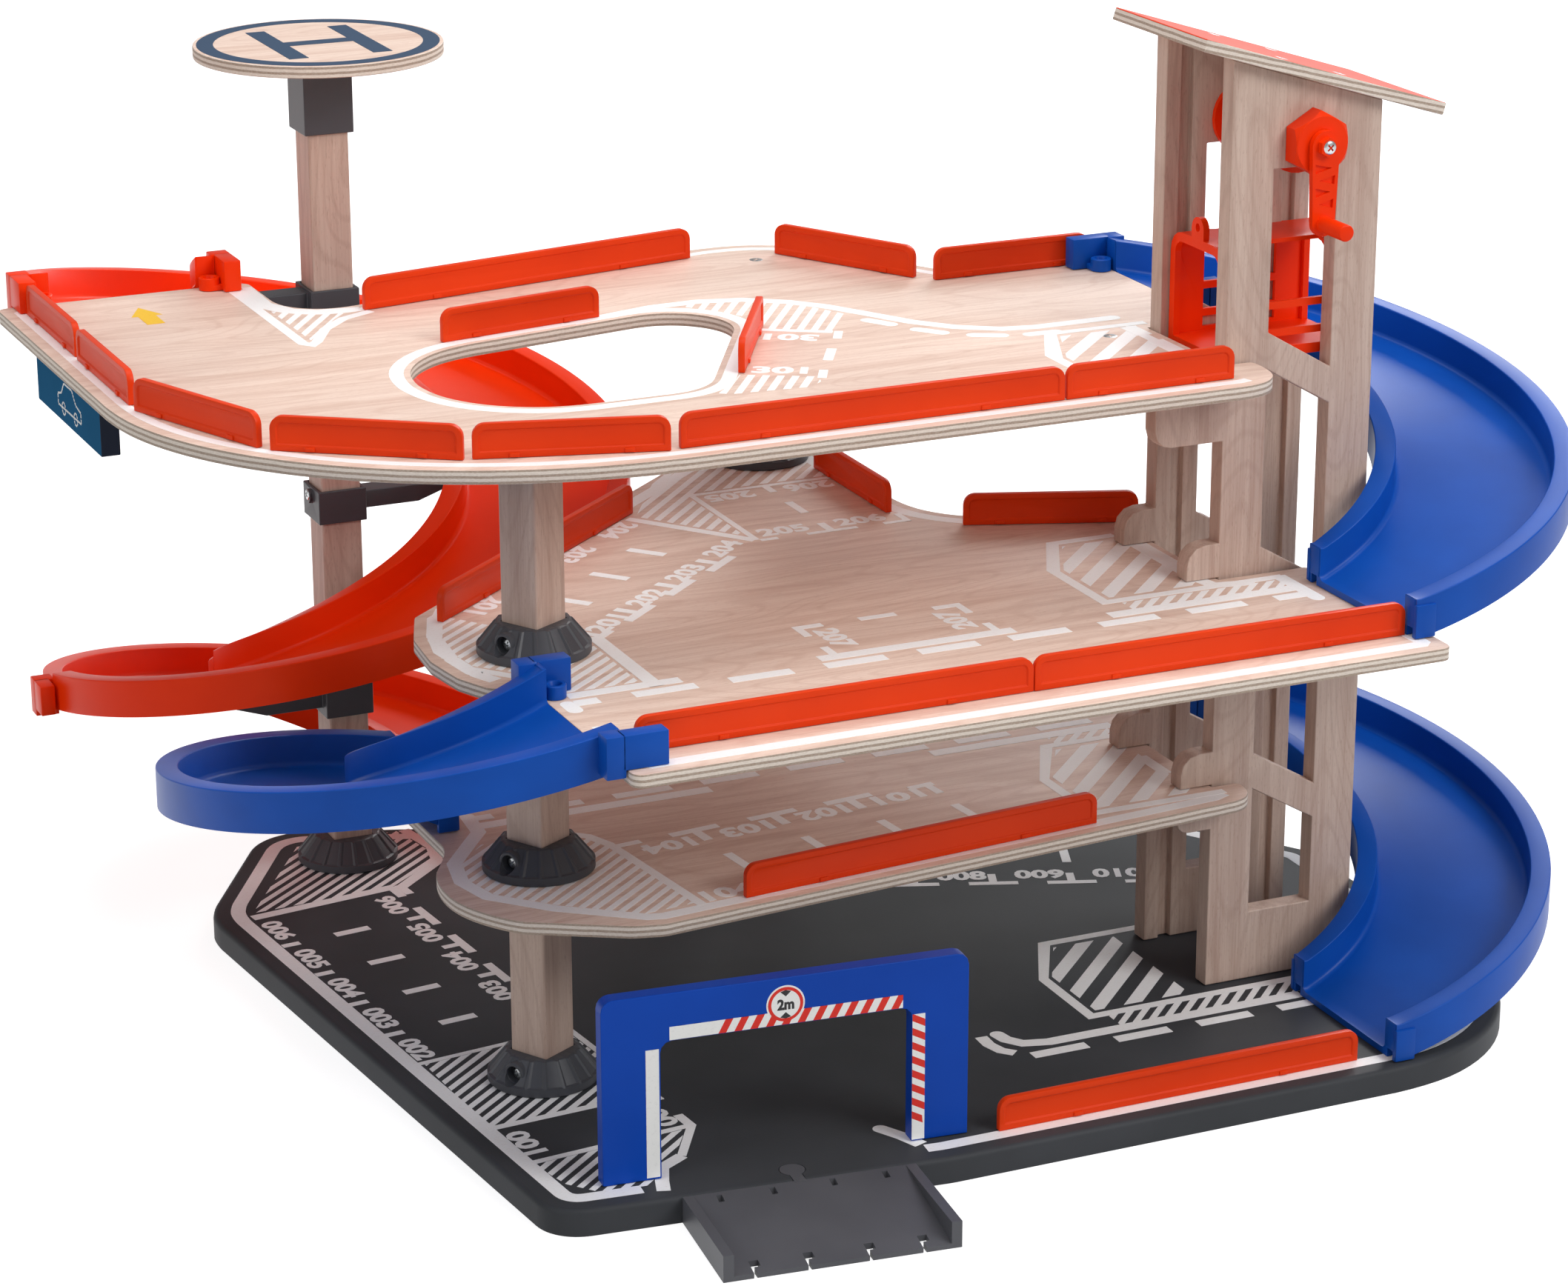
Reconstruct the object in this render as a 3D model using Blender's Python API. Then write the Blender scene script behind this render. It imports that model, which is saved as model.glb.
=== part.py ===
import bpy
import bmesh
import math
from mathutils import Matrix, Vector

# Start from an empty scene
for thing in list(bpy.data.objects):
    bpy.data.objects.remove(thing, do_unlink=True)

# Driving dimensions, metres, measured from post B's axis on top of the base
level_pitch = 0.100
fit_gap = 0.0003
base_thick = 0.012
base_round = 0.0025
deck_thick = 0.00565
origin_x = 0.185
origin_y = 0.090

# Posts, feet and heads
post_side = 0.0200
post_a = (0.00636, 0.28678)
post_b = (0.0, 0.0)
post_c = (0.2065, 0.2285)
post_b_turn = math.radians(29.6)
socket_gap = 0.0003
foot_radius = 0.02486
foot_band = 0.0040
foot_height = 0.0140
foot_top_radius = 0.0165
foot_floor = 0.0030
foot_ribs = 18
rib_depth = 0.0011
boss_radius = 0.0046
boss_reach = 0.0205
boss_height = 0.0072
boss_recess = 0.0029
boss_recess_depth = 0.0018

# Brackets on post A and the helipad
collar_side = 0.0243
collar_height = 0.0165
collar_drop = 0.0045
arm_width = 0.0130
arm_flat = 0.0410
arm_reach = 0.0580
arm_low = 0.0167
arm_clear = 0.0049
helipad_top = 0.4130
helipad_radius = 0.0590
helipad_socket_height = 0.0360

# Slides
slide_radius = 0.1000
slide_half_width = 0.0450
slide_wall = 0.0095
slide_skin = 0.0026
slide_floor = 0.0030
slide_rim = 0.0150
slide_steps = 20
slide_fillet = 0.0024
clip_step = 0.0085
clip_back = 0.0090
junction_gap = 0.0014
ear_radius = 0.0050
ear_recess = 0.0034
ear_height = 0.0062
exit_lead = 0.0018
red_lead_out = 0.0270
exit_block = 0.0100
exit_step = 0.0040

# Railings
rail_height = 0.0150
rail_thick = 0.0030
rail_corner = 0.0055
rail_rim = 0.0030
rail_panel = 0.0008
rail_short = 0.0825
rail_long = 0.1795
rail_clip_short = 0.0480
rail_clip_long = 0.1030
rail_bump = 0.0042
rail_bump_height = 0.0022
rail_bump_reach = 0.0008

# Lift tower
tower_left = 0.3170
tower_right = 0.3932
tower_inner = 0.0249
board_thick = 0.0097
stile = 0.0219
tower_top = 0.4365
roof_slope = 0.3140
window_top = 0.3861
window_sill = 0.0340
band_upper = 0.0120
band_lower = -0.0050
band_fall = 0.0190
hook_reach = 0.0162
hook_height = 0.0165
hook_radius = 0.0095
lower_hook_reach = 0.0175
lower_hook_drop = 0.0216
bracket_reach = 0.0343
bracket_drop = 0.0357
groove_inset = 0.0078
groove_width = 0.0063
groove_depth = 0.0032
roof_left = 0.2977
roof_right = 0.4203
roof_half = 0.0416
deck_notch_x = 0.3165
deck_notch_half = 0.0360
slide_edge_right = 0.3535
slide_edge_left = -0.0190

# Crank
crank_x = 0.3572
crank_z = 0.3973
boss_flat = 0.0131
boss_deep = 0.0094
boss_chamfer = 0.0026
shaft_radius = 0.0030
drum_radius = 0.0120
flange_radius = 0.0165
flange_thick = 0.0025
arm_length = 0.0348
arm_hub = 0.0070
arm_end = 0.0057
arm_thick = 0.0030
arm_rim = 0.0014
arm_panel = 0.0013
handle_radius = 0.0038
handle_length = 0.0197
hub_rise = 0.0030

# Lift car
car_left = 0.3209
car_right = 0.3915
car_half = 0.0240
car_top = 0.3490
car_corner = 0.0100
car_skin = 0.0020
car_rim = 0.0043
car_rim_deep = 0.0030
car_floor = 0.0028
car_plate = 0.0165
rung_thick = 0.0034
rung_low = 0.0083
rung_high = 0.0211
eye_radius = 0.0054
eye_hole = 0.0020
eye_rise = 0.0046

# Gate and ramp
gate_x = -0.0181
gate_y = -0.1159
gate_turn = math.radians(-5.49)
gate_width = 0.1638
gate_height = 0.0847
gate_leg = 0.0259
gate_clear = 0.0629
gate_thick = 0.0076
ramp_turn = math.radians(-6.18)
ramp_half = 0.0518
ramp_length = 0.0577
ramp_wall = 0.0046
ramp_skin = 0.0022
ramp_slots = (-0.0366, -0.0132, 0.0134, 0.0368)
knob_radius = 0.0055
knob_out = 0.0105
neck_half = 0.0026

# Sign block
sign_x = -0.1500
sign_thick = 0.0088
sign_y = 0.1327
sign_width = 0.1047
sign_height = 0.0247

# Colours: linear base colour, roughness
veneer = ((0.52, 0.36, 0.27), 0.5)
beech = ((0.50, 0.33, 0.24), 0.5)
charcoal = ((0.025, 0.026, 0.028), 0.5)
black = ((0.018, 0.018, 0.020), 0.45)
red = ((0.78, 0.045, 0.012), 0.3)
blue = ((0.010, 0.050, 0.42), 0.3)
sign_blue = ((0.012, 0.13, 0.30), 0.4)

root = bpy.data.objects.new("garage_origin", None)
bpy.context.scene.collection.objects.link(root)
root.location = (-origin_x, -origin_y, base_thick)


def add(name, bm, look=None, place=None):
    """Makes an object from a bmesh, facing outwards; place is its matrix under the root."""
    bmesh.ops.recalc_face_normals(bm, faces=bm.faces)
    mesh = bpy.data.meshes.new(name)
    bm.to_mesh(mesh)
    bm.free()
    obj = bpy.data.objects.new(name, mesh)
    bpy.context.scene.collection.objects.link(obj)
    obj.parent = root
    if place is not None:
        obj.matrix_local = place
    if look is not None:
        (colour, rough) = look
        material = bpy.data.materials.new(name)
        material.use_nodes = True
        shader = material.node_tree.nodes["Principled BSDF"]
        shader.inputs["Base Color"].default_value = (*colour, 1.0)
        shader.inputs["Roughness"].default_value = rough
        shader.inputs["Metallic"].default_value = 0.0
        material.diffuse_color = (*colour, 1.0)
        mesh.materials.append(material)
        mesh.shade_smooth()
        mesh.set_sharp_from_angle(angle=math.radians(38))
    return obj


def boolean(obj, other, operation):
    """Hides the other solid and applies it as a live Boolean."""
    other.hide_render = True
    other.display_type = "WIRE"
    modifier = obj.modifiers.new(operation.lower() + "_" + other.name, "BOOLEAN")
    modifier.operation = operation
    modifier.solver = "EXACT"
    modifier.object = other


def cut(obj, other):
    boolean(obj, other, "DIFFERENCE")


def join(obj, other):
    boolean(obj, other, "UNION")


def rounded(corners, step=30.0):
    """Points of a closed outline from (x, y, fillet radius) corners."""
    points = []
    for i, (x, y, r) in enumerate(corners):
        here = Vector((x, y))
        if r <= 0:
            points.append((x, y))
            continue
        back = (Vector(corners[i - 1][:2]) - here).normalized()
        ahead = (Vector(corners[(i + 1) % len(corners)][:2]) - here).normalized()
        angle = back.angle(ahead)
        reach = r / math.tan(angle / 2)
        centre = here + (back + ahead).normalized() * (r / math.sin(angle / 2))
        first = here + back * reach - centre
        last = here + ahead * reach - centre
        begin = math.atan2(first.y, first.x)
        sweep = math.atan2(last.y, last.x) - begin
        sweep = (sweep + math.pi) % (2 * math.pi) - math.pi
        parts = max(1, math.ceil(abs(sweep) / math.radians(step)))
        for k in range(parts + 1):
            turn = begin + sweep * k / parts
            points.append((centre.x + r * math.cos(turn), centre.y + r * math.sin(turn)))
    return points


def circle(x, y, r, count):
    turns = [2 * math.pi * k / count for k in range(count)]
    return [(x + r * math.cos(t), y + r * math.sin(t)) for t in turns]


def prism(points, low, high, axis="Z"):
    """Extrudes an outline: along Z from (x, y), along Y from (x, z), along X from (y, z)."""
    bm = bmesh.new()
    where = {"Z": lambda a, b: (a, b, low), "Y": lambda a, b: (a, low, b)}
    where["X"] = lambda a, b: (low, a, b)
    along = {"Z": (0, 0, 1), "Y": (0, 1, 0), "X": (1, 0, 0)}[axis]
    verts = [bm.verts.new(where[axis](a, b)) for (a, b) in points]
    face = bm.faces.new(verts)
    made = bmesh.ops.extrude_face_region(bm, geom=[face])
    moved = [item for item in made["geom"] if isinstance(item, bmesh.types.BMVert)]
    bmesh.ops.translate(bm, verts=moved, vec=Vector(along) * (high - low))
    return bm


def box(x0, x1, y0, y1, z0, z1):
    return prism([(x0, y0), (x1, y0), (x1, y1), (x0, y1)], z0, z1)


def spot(x, y, z=0.0, turn=0.0):
    return Matrix.Translation((x, y, z)) @ Matrix.Rotation(turn, 4, "Z")


def revolve(profile, count, axis_spot=None):
    """Turns (radius, z) points about Z; the first and last points lie on the axis."""
    bm = bmesh.new()
    verts = [bm.verts.new((r, 0.0, z)) for (r, z) in profile]
    edges = [bm.edges.new(pair) for pair in zip(verts[:-1], verts[1:])]
    geom = verts + edges
    whole = 2 * math.pi
    bmesh.ops.spin(bm, geom=geom, axis=(0, 0, 1), cent=(0, 0, 0), steps=count, angle=whole)
    bmesh.ops.remove_doubles(bm, verts=bm.verts, dist=1e-6)
    return bm


# Base plate with rounded top edge and a keyhole for the ramp's knob
base_outline = [
    (-0.0465, -0.1314, 0.020),
    (0.1290, -0.1504, 0.030),
    (0.4500, -0.1504, 0.100),
    (0.4500, 0.0950, 0.020),
    (0.4040, 0.1660, 0.020),
    (0.0478, 0.3116, 0.0),
    (-0.0229, 0.3383, 0.030),
    (-0.0808, 0.2411, 0.050),
]
bm = prism(rounded(base_outline, 22.0), -base_thick, 0.0)
top_edges = [e for e in bm.edges if all(abs(v.co.z) < 1e-9 for v in e.verts)]
bmesh.ops.bevel(bm, geom=top_edges, offset=base_round, segments=2, affect="EDGES", profile=0.5)
base = add("base_board", bm, charcoal)

# Entry ramp: the floor falls from the base's top to the ground between level side walls
edge_slope = (-0.1504 + 0.1314) / (0.1290 + 0.0465)
ramp_x = 0.0604
ramp_y = -0.1314 + edge_slope * (ramp_x + 0.0465)
ramp_spot = spot(ramp_x, ramp_y, 0.0, ramp_turn)
low = -base_thick
floor_end = low + ramp_skin
start = -fit_gap
profile = [
    (start, 0.0),
    (start, low),
    (start - 0.0030, low),
    (start - 0.0030, -ramp_skin),
    (-ramp_length + 0.0040, low),
    (-ramp_length, low),
    (-ramp_length, floor_end),
]
ramp = add("entry_ramp", prism(profile, -ramp_half, ramp_half, "X"), charcoal, ramp_spot)
for side in (-1, 1):
    inner = side * (ramp_half - ramp_wall)
    outer = side * ramp_half
    wall = box(min(inner, outer), max(inner, outer), -ramp_length, start - 0.0002, low, 0.0)
    join(ramp, add("ramp_wall", wall, None, ramp_spot))
neck = [
    (-neck_half, -0.0015),
    (neck_half, -0.0015),
    (neck_half, knob_out - 0.0047),
    (-neck_half, knob_out - 0.0047),
]
knob_floor = -0.0040
join(ramp, add("ramp_neck", prism(neck, knob_floor, 0.0), None, ramp_spot))
knob = circle(0.0, knob_out, knob_radius, 20)
join(ramp, add("ramp_knob", prism(knob, knob_floor, 0.0), None, ramp_spot))
wide = neck_half + fit_gap
neck_hole = [(-wide, -0.004), (wide, -0.004), (wide, knob_out), (-wide, knob_out)]
cut(base, add("knob_neck_hole", prism(neck_hole, -0.02, 0.01), None, ramp_spot))
hole = circle(0.0, knob_out, knob_radius + fit_gap, 20)
cut(base, add("knob_hole", prism(hole, -0.02, 0.01), None, ramp_spot))
for at in ramp_slots:
    slot = box(at - 0.0013, at + 0.0013, -0.0072, -0.0024, -0.02, 0.01)
    cut(ramp, add("ramp_slot", slot, None, ramp_spot))
    catch = [
        (at - 0.0020, -ramp_length - 0.002),
        (at - 0.0006, -ramp_length - 0.002),
        (at - 0.0006, -ramp_length + 0.0042),
        (at + 0.0022, -ramp_length + 0.0042),
        (at + 0.0022, -ramp_length + 0.0086),
        (at - 0.0020, -ramp_length + 0.0086),
    ]
    cut(ramp, add("ramp_catch", prism(catch, -0.02, 0.01), None, ramp_spot))

# Gate frame over the entry
gate_spot = spot(gate_x, gate_y, 0.0, gate_turn)
frame = rounded(
    [
        (0.0, fit_gap, 0.0),
        (gate_leg, fit_gap, 0.0),
        (gate_leg, gate_clear, 0.0050),
        (gate_width - gate_leg, gate_clear, 0.0050),
        (gate_width - gate_leg, fit_gap, 0.0),
        (gate_width, fit_gap, 0.0),
        (gate_width, gate_height, 0.0055),
        (0.0, gate_height, 0.0055),
    ]
)
add("entry_gate", prism(frame, 0.0, gate_thick, "Y"), blue, gate_spot)

# Deck outlines
notch_in = deck_notch_x
notch = deck_notch_half
bow_x = 0.0486
bow_y = 0.1056
bow_wide = 0.2030
bow_deep = 0.1760
bow = [math.radians(270 - 90 * k / 10) for k in range(1, 10)]
deck_3_outline = rounded(
    [
        (bow_x - bow_wide, bow_y, 0.0),
        (bow_x - bow_wide, 0.2885, 0.005),
        (-0.0331, 0.2885, 0.005),
        (-0.0331, 0.2200, 0.025),
        (0.1777, 0.2589, 0.0),
        (0.2260, 0.2671, 0.0585),
        (0.2748, 0.1809, 0.0),
        (0.2818, 0.1685, 0.010),
        (slide_edge_right, 0.1685, 0.005),
        (slide_edge_right, notch, 0.0),
        (notch_in, notch, 0.0),
        (notch_in, -notch, 0.0),
        (0.3300, -notch, 0.002),
        (0.3300, bow_y - bow_deep, 0.022),
        (bow_x, bow_y - bow_deep, 0.0),
    ]
)
deck_3_outline += [(bow_x + bow_wide * math.cos(t), bow_y + bow_deep * math.sin(t)) for t in bow]
hole_outline = rounded(
    [
        (-0.0205, 0.0228, 0.057),
        (0.0930, 0.0228, 0.030),
        (0.1733, 0.1645, 0.030),
        (-0.0205, 0.1300, 0.057),
    ],
    20.0,
)
lobe_turns = [math.radians(70 + 25 * k) for k in range(-2, 5)]
deck_2_outline = rounded(
    [
        (-0.0190, -0.0450, 0.0),
        (-0.0190, -0.1600, 0.005),
        (0.3620, -0.1600, 0.005),
        (0.3620, -notch, 0.002),
        (notch_in, -notch, 0.0),
        (notch_in, notch, 0.0),
        (0.3600, notch, 0.0),
        (0.3600, 0.0583, 0.004),
        (0.2370, 0.1031, 0.050),
        (0.2370, 0.2300, 0.0),
    ]
)
deck_2_outline += [
    (post_c[0] + 0.0305 * math.cos(t), post_c[1] + 0.0305 * math.sin(t)) for t in lobe_turns[1:]
]
deck_2_outline += rounded(
    [
        (0.1790, 0.2083, 0.0),
        (-0.0317, 0.0640, 0.0060),
        (-0.0425, 0.0350, 0.010),
        (-0.0455, 0.0050, 0.010),
        (-0.0425, -0.0200, 0.010),
        (-0.0350, -0.0375, 0.006),
        (-0.0190, -0.0450, 0.0),
    ]
)[:-1]
lobe_1 = [(-0.0427, 0.0132), (-0.0466, -0.0005), (-0.0473, -0.0164)]
lobe_1 += [(-0.0445, -0.0300), (-0.0380, -0.0436)]
deck_1_outline = rounded(
    [
        (-0.0280, -0.0561, 0.0),
        (0.0115, -0.0793, 0.010),
        (0.0250, -0.0830, 0.010),
        (0.3300, -0.0550, 0.015),
        (0.3300, -notch, 0.002),
        (notch_in, -notch, 0.0),
        (notch_in, notch, 0.0),
        (slide_edge_right, notch, 0.0),
        (slide_edge_right, 0.1600, 0.005),
        (-0.0300, 0.1600, 0.005),
        (-0.0300, 0.0380, 0.010),
        (-0.0360, 0.0245, 0.0),
    ]
)
deck_1_outline += lobe_1
decks = [deck_1_outline, deck_2_outline, deck_3_outline]
for level, outline in enumerate(decks, 1):
    top = level * level_pitch
    deck = add("deck_" + str(level), prism(outline, top - deck_thick, top), veneer)
    if level == 3:
        cut(deck, add("deck_hole", prism(hole_outline, top - 0.02, top + 0.01)))


# Feet and heads: ribbed cones with a square socket and a screw boss
def cone(name, x, y, z, turn, boss_turn, upside_down):
    bm = bmesh.new()
    count = 2 * foot_ribs
    rings = []
    heights = ((0.0, foot_radius, 0), (foot_band, foot_radius, 0))
    heights += ((foot_height, foot_top_radius, 1),)
    for height, radius, ribbed in heights:
        ring = []
        for k in range(count):
            r = radius + (rib_depth / 2 if k % 2 else -rib_depth / 2) * ribbed
            t = 2 * math.pi * k / count
            ring.append(bm.verts.new((r * math.cos(t), r * math.sin(t), height)))
        rings.append(ring)
    for lower, upper in zip(rings[:-1], rings[1:]):
        for k in range(count):
            n = (k + 1) % count
            bm.faces.new((lower[k], lower[n], upper[n], upper[k]))
    bm.faces.new(list(reversed(rings[0])))
    bm.faces.new(rings[-1])
    place = spot(x, y, z, turn)
    if upside_down:
        place = place @ Matrix.Rotation(math.pi, 4, "X")
        boss_turn = -boss_turn
    body = add(name, bm, black, place)
    aim = place @ Matrix.Rotation(boss_turn, 4, "Z")
    ring = [(a, b + boss_height) for (a, b) in circle(0.0, 0.0, boss_radius, 12)]
    join(body, add("boss", prism(ring, 0.0115, boss_reach, "X"), None, aim))
    half = post_side / 2 + socket_gap
    socket = box(-half, half, -half, half, foot_floor, foot_height + 0.01)
    cut(body, add("socket", socket, None, place))
    pit = [(a, b + boss_height) for (a, b) in circle(0.0, 0.0, boss_recess, 10)]
    pit_bm = prism(pit, boss_reach - boss_recess_depth, boss_reach + 0.005, "X")
    cut(body, add("boss_pit", pit_bm, None, aim))


def post(name, x, y, turn, low_z, high_z):
    half = post_side / 2
    bm = box(-half, half, -half, half, low_z, high_z)
    upright = [e for e in bm.edges if abs(e.verts[0].co.z - e.verts[1].co.z) > 1e-6]
    bmesh.ops.bevel(bm, geom=upright, offset=0.0007, segments=1, affect="EDGES")
    add(name, bm, beech, spot(x, y, 0.0, turn))


sit = foot_floor + 2 * fit_gap
b_boss = math.pi
for level in range(3):
    floor_z = level * level_pitch
    above = floor_z + level_pitch - deck_thick
    cone("foot_b_" + str(level), *post_b, floor_z + fit_gap, post_b_turn, b_boss, False)
    cone("head_b_" + str(level + 1), *post_b, above - fit_gap, post_b_turn, b_boss, True)
    post("post_b_" + str(level), *post_b, post_b_turn, floor_z + sit, above - sit)
for low_level, high_level in ((0, 2), (2, 3)):
    floor_z = low_level * level_pitch
    above = high_level * level_pitch - deck_thick
    cone("foot_c_" + str(low_level), *post_c, floor_z + fit_gap, 0.0, math.pi, False)
    cone("head_c_" + str(high_level), *post_c, above - fit_gap, 0.0, math.pi, True)
    post("post_c_" + str(low_level), *post_c, 0.0, floor_z + sit, above - sit)
cone("foot_a_0", *post_a, fit_gap, 0.0, math.pi / 2, False)
pad_low = helipad_top - deck_thick
post("post_a", *post_a, 0.0, sit, pad_low - 0.0044)

# Brackets of post A: square collars with one tapered arm each
half = collar_side / 2
inner = post_side / 2 + socket_gap
for level, side in ((3, -1), (2, 1), (1, -1)):
    top = level * level_pitch - collar_drop
    arm_top = level * level_pitch - slide_floor - arm_clear
    if level == 3:
        arm_top = level * level_pitch - deck_thick - fit_gap
    name = "bracket_" + str(level)
    place = spot(*post_a)
    sleeve = add(name, box(-half, half, -half, half, top - collar_height, top), black, place)
    arm = [
        (side * (half - 0.003), arm_top),
        (side * (half - 0.003), level * level_pitch - arm_low),
        (side * arm_flat, level * level_pitch - arm_low),
        (side * arm_reach, arm_top - 0.0030),
        (side * arm_reach, arm_top),
    ]
    arm_bm = prism(arm, -arm_width / 2, arm_width / 2, "Y")
    join(sleeve, add(name + "_arm", arm_bm, None, place))
    bore = box(-inner, inner, -inner, inner, top - 0.03, top + 0.01)
    cut(sleeve, add(name + "_bore", bore, None, place))
    button = [(a, b + top - 0.0045) for (a, b) in circle(0.0, 0.0, 0.0036, 14)]
    aim = place @ Matrix.Rotation(math.pi if side > 0 else math.pi / 2, 4, "Z")
    join(sleeve, add(name + "_boss", prism(button, half - 0.001, half + 0.0018, "X"), None, aim))

# Helipad with its socket
place = spot(*post_a)
socket_top = pad_low - fit_gap
sleeve_bm = box(-half, half, -half, half, socket_top - helipad_socket_height, socket_top)
sleeve = add("helipad_socket", sleeve_bm, black, place)
bore = box(-inner, inner, -inner, inner, socket_top - 0.05, socket_top - 0.0035)
cut(sleeve, add("helipad_bore", bore, None, place))
pad = circle(0.0, 0.0, helipad_radius, 64)
add("helipad", prism(pad, pad_low, helipad_top), veneer, place)


# Slides: a hollow-walled channel swept through half a turn of a helix
def slide(name, look, x, y, level, turn, sweep, lead_out, reach, ears, shelf):
    top_z = level * level_pitch
    drop = level_pitch - slide_floor - fit_gap
    place = spot(x, y, top_z, turn)
    inner_r = slide_radius - slide_half_width
    outer_r = slide_radius + slide_half_width
    wall = slide_wall
    skin = slide_skin
    low = -slide_floor
    draft = 0.0008
    profile = [
        (outer_r, low),
        (outer_r, slide_rim),
        (outer_r - wall, slide_rim),
        (outer_r - wall - draft, slide_fillet),
        (outer_r - wall - draft - slide_fillet, 0.0),
        (inner_r + wall + draft + slide_fillet, 0.0),
        (inner_r + wall + draft, slide_fillet),
        (inner_r + wall, slide_rim),
        (inner_r, slide_rim),
        (inner_r, low),
        (inner_r + skin, low),
        (inner_r + skin, slide_rim - skin),
        (inner_r + wall - skin, slide_rim - skin),
        (inner_r + wall - skin + draft, low),
        (outer_r - wall + skin - draft, low),
        (outer_r - wall + skin, slide_rim - skin),
        (outer_r - skin, slide_rim - skin),
        (outer_r - skin, low),
    ]
    bm = bmesh.new()
    verts = [bm.verts.new((r, 0.0, z)) for (r, z) in profile]
    face = bm.faces.new(verts)
    geom = [face] + list(face.edges) + verts
    step = Vector((0, 0, -drop / slide_steps))
    made = bmesh.ops.spin(
        bm,
        geom=geom,
        axis=(0, 0, -1),
        cent=(0, 0, 0),
        dvec=step,
        steps=slide_steps,
        angle=sweep,
    )
    if lead_out > 0:
        last = [item for item in made["geom_last"] if isinstance(item, bmesh.types.BMFace)]
        more = bmesh.ops.extrude_face_region(bm, geom=last)
        ahead = [item for item in more["geom"] if isinstance(item, bmesh.types.BMVert)]
        bmesh.ops.translate(bm, verts=ahead, vec=(0, lead_out, 0))
        bmesh.ops.delete(bm, geom=last, context="FACES")
    bmesh.ops.recalc_face_normals(bm, faces=bm.faces)
    bmesh.ops.triangulate(bm, faces=bm.faces)
    body = add(name, bm, look, place)
    # Start clips beside both walls, reaching over the deck
    for out, base_r in ((1, outer_r), (-1, inner_r)):
        far = base_r + out * clip_step
        near = base_r + out * (fit_gap if ears else junction_gap)
        root_r = base_r - out * 0.0012
        block = box(min(root_r, far), max(root_r, far), -clip_back, -0.0005, low, slide_rim)
        join(body, add(name + "_block", block, None, place))
        length = reach if out > 0 else min(reach, 0.0150)
        bar = box(min(near, far), max(near, far), -0.0020, length, fit_gap, slide_rim)
        join(body, add(name + "_bar", bar, None, place))
        if not ears:
            continue
        ear_r = base_r - out * 0.0045
        ear_y = 0.0055
        ear = [(near + out * 0.0020, ear_y - ear_radius)]
        turns = [math.radians(-90 - 180 * k / 8) for k in range(9)]
        ear += [(ear_r + out * ear_radius * math.cos(t), ear_y + ear_radius * math.sin(t)) for t in turns]
        ear += [(near + out * 0.0020, ear_y + ear_radius)]
        join(body, add(name + "_ear", prism(ear, fit_gap, ear_height), None, place))
        dish = prism(circle(ear_r, ear_y, ear_recess, 14), 0.0032, 0.02)
        cut(body, add(name + "_dish", dish, None, place))
    # End blocks where the channel lands on a deck
    if shelf:
        for out, base_r in ((1, outer_r), (-1, inner_r)):
            far = base_r + out * exit_step
            root_r = base_r - out * 0.0012
            ends = (-root_r, -far)
            foot = -drop + low + 0.0004
            tip = lead_out + 0.0006
            pad_box = (min(ends), max(ends), tip - exit_block, tip, foot, foot + slide_rim)
            join(body, add(name + "_end", box(*pad_box), None, place))
    return body


blue_x = slide_edge_right + fit_gap
slide("slide_blue_upper", blue, blue_x, 0.0, 3, math.pi / 2, math.pi, exit_lead, 0.031, True, True)
slide("slide_blue_lower", blue, blue_x, 0.0, 1, math.pi / 2, math.pi, exit_lead, 0.031, True, True)
left_x = slide_edge_left - fit_gap
slide("slide_blue_left", blue, left_x, 0.0, 2, -math.pi / 2, math.pi, exit_lead, 0.031, True, True)
red_y = 0.2885 + fit_gap
short = math.pi - 0.007
slide("slide_red_1", red, post_a[0], red_y, 3, math.pi, short, 0.0, 0.0150, True, False)
slide("slide_red_2", red, post_a[0], red_y, 2, 0.0, short, 0.0, 0.0100, False, False)
lead = red_lead_out
slide("slide_red_3", red, post_a[0], red_y, 1, math.pi, math.pi, lead, 0.0100, False, True)


# Railings, panelled on both faces: name, level, start, end; the body lies left of the way along
def railing(name, level, x0, y0, x1, y1):
    way = Vector((x1 - x0, y1 - y0))
    long = way.length > (rail_short + rail_long) / 2
    length = rail_long if long else rail_short
    spacing = rail_clip_long if long else rail_clip_short
    mid = Vector((x0 + x1, y0 + y1)) / 2
    place = spot(mid.x, mid.y, level * level_pitch + fit_gap, math.atan2(way.y, way.x))
    half = length / 2
    shape = rounded(
        [
            (-half, 0.0, 0.0),
            (half, 0.0, 0.0),
            (half, rail_height, rail_corner),
            (-half, rail_height, rail_corner),
        ]
    )
    bm = prism(shape, 0.0, rail_thick, "Y")
    for plane, inward in ((0.0, rail_panel), (rail_thick, -rail_panel)):
        panel = [f for f in bm.faces if all(abs(v.co.y - plane) < 1e-7 for v in f.verts)]
        bmesh.ops.inset_region(bm, faces=panel, thickness=rail_rim, use_even_offset=True)
        bmesh.ops.translate(bm, verts=list(panel[0].verts), vec=(0, inward, 0))
    body = add(name, bm, red, place)
    for side in (-1, 1):
        at = side * spacing / 2
        near = -rail_bump_reach
        far = rail_thick + rail_bump_reach
        bump = box(at - rail_bump / 2, at + rail_bump / 2, near, far, 0.0003, rail_bump_height)
        join(body, add(name + "_bump", bump, None, place))


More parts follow.
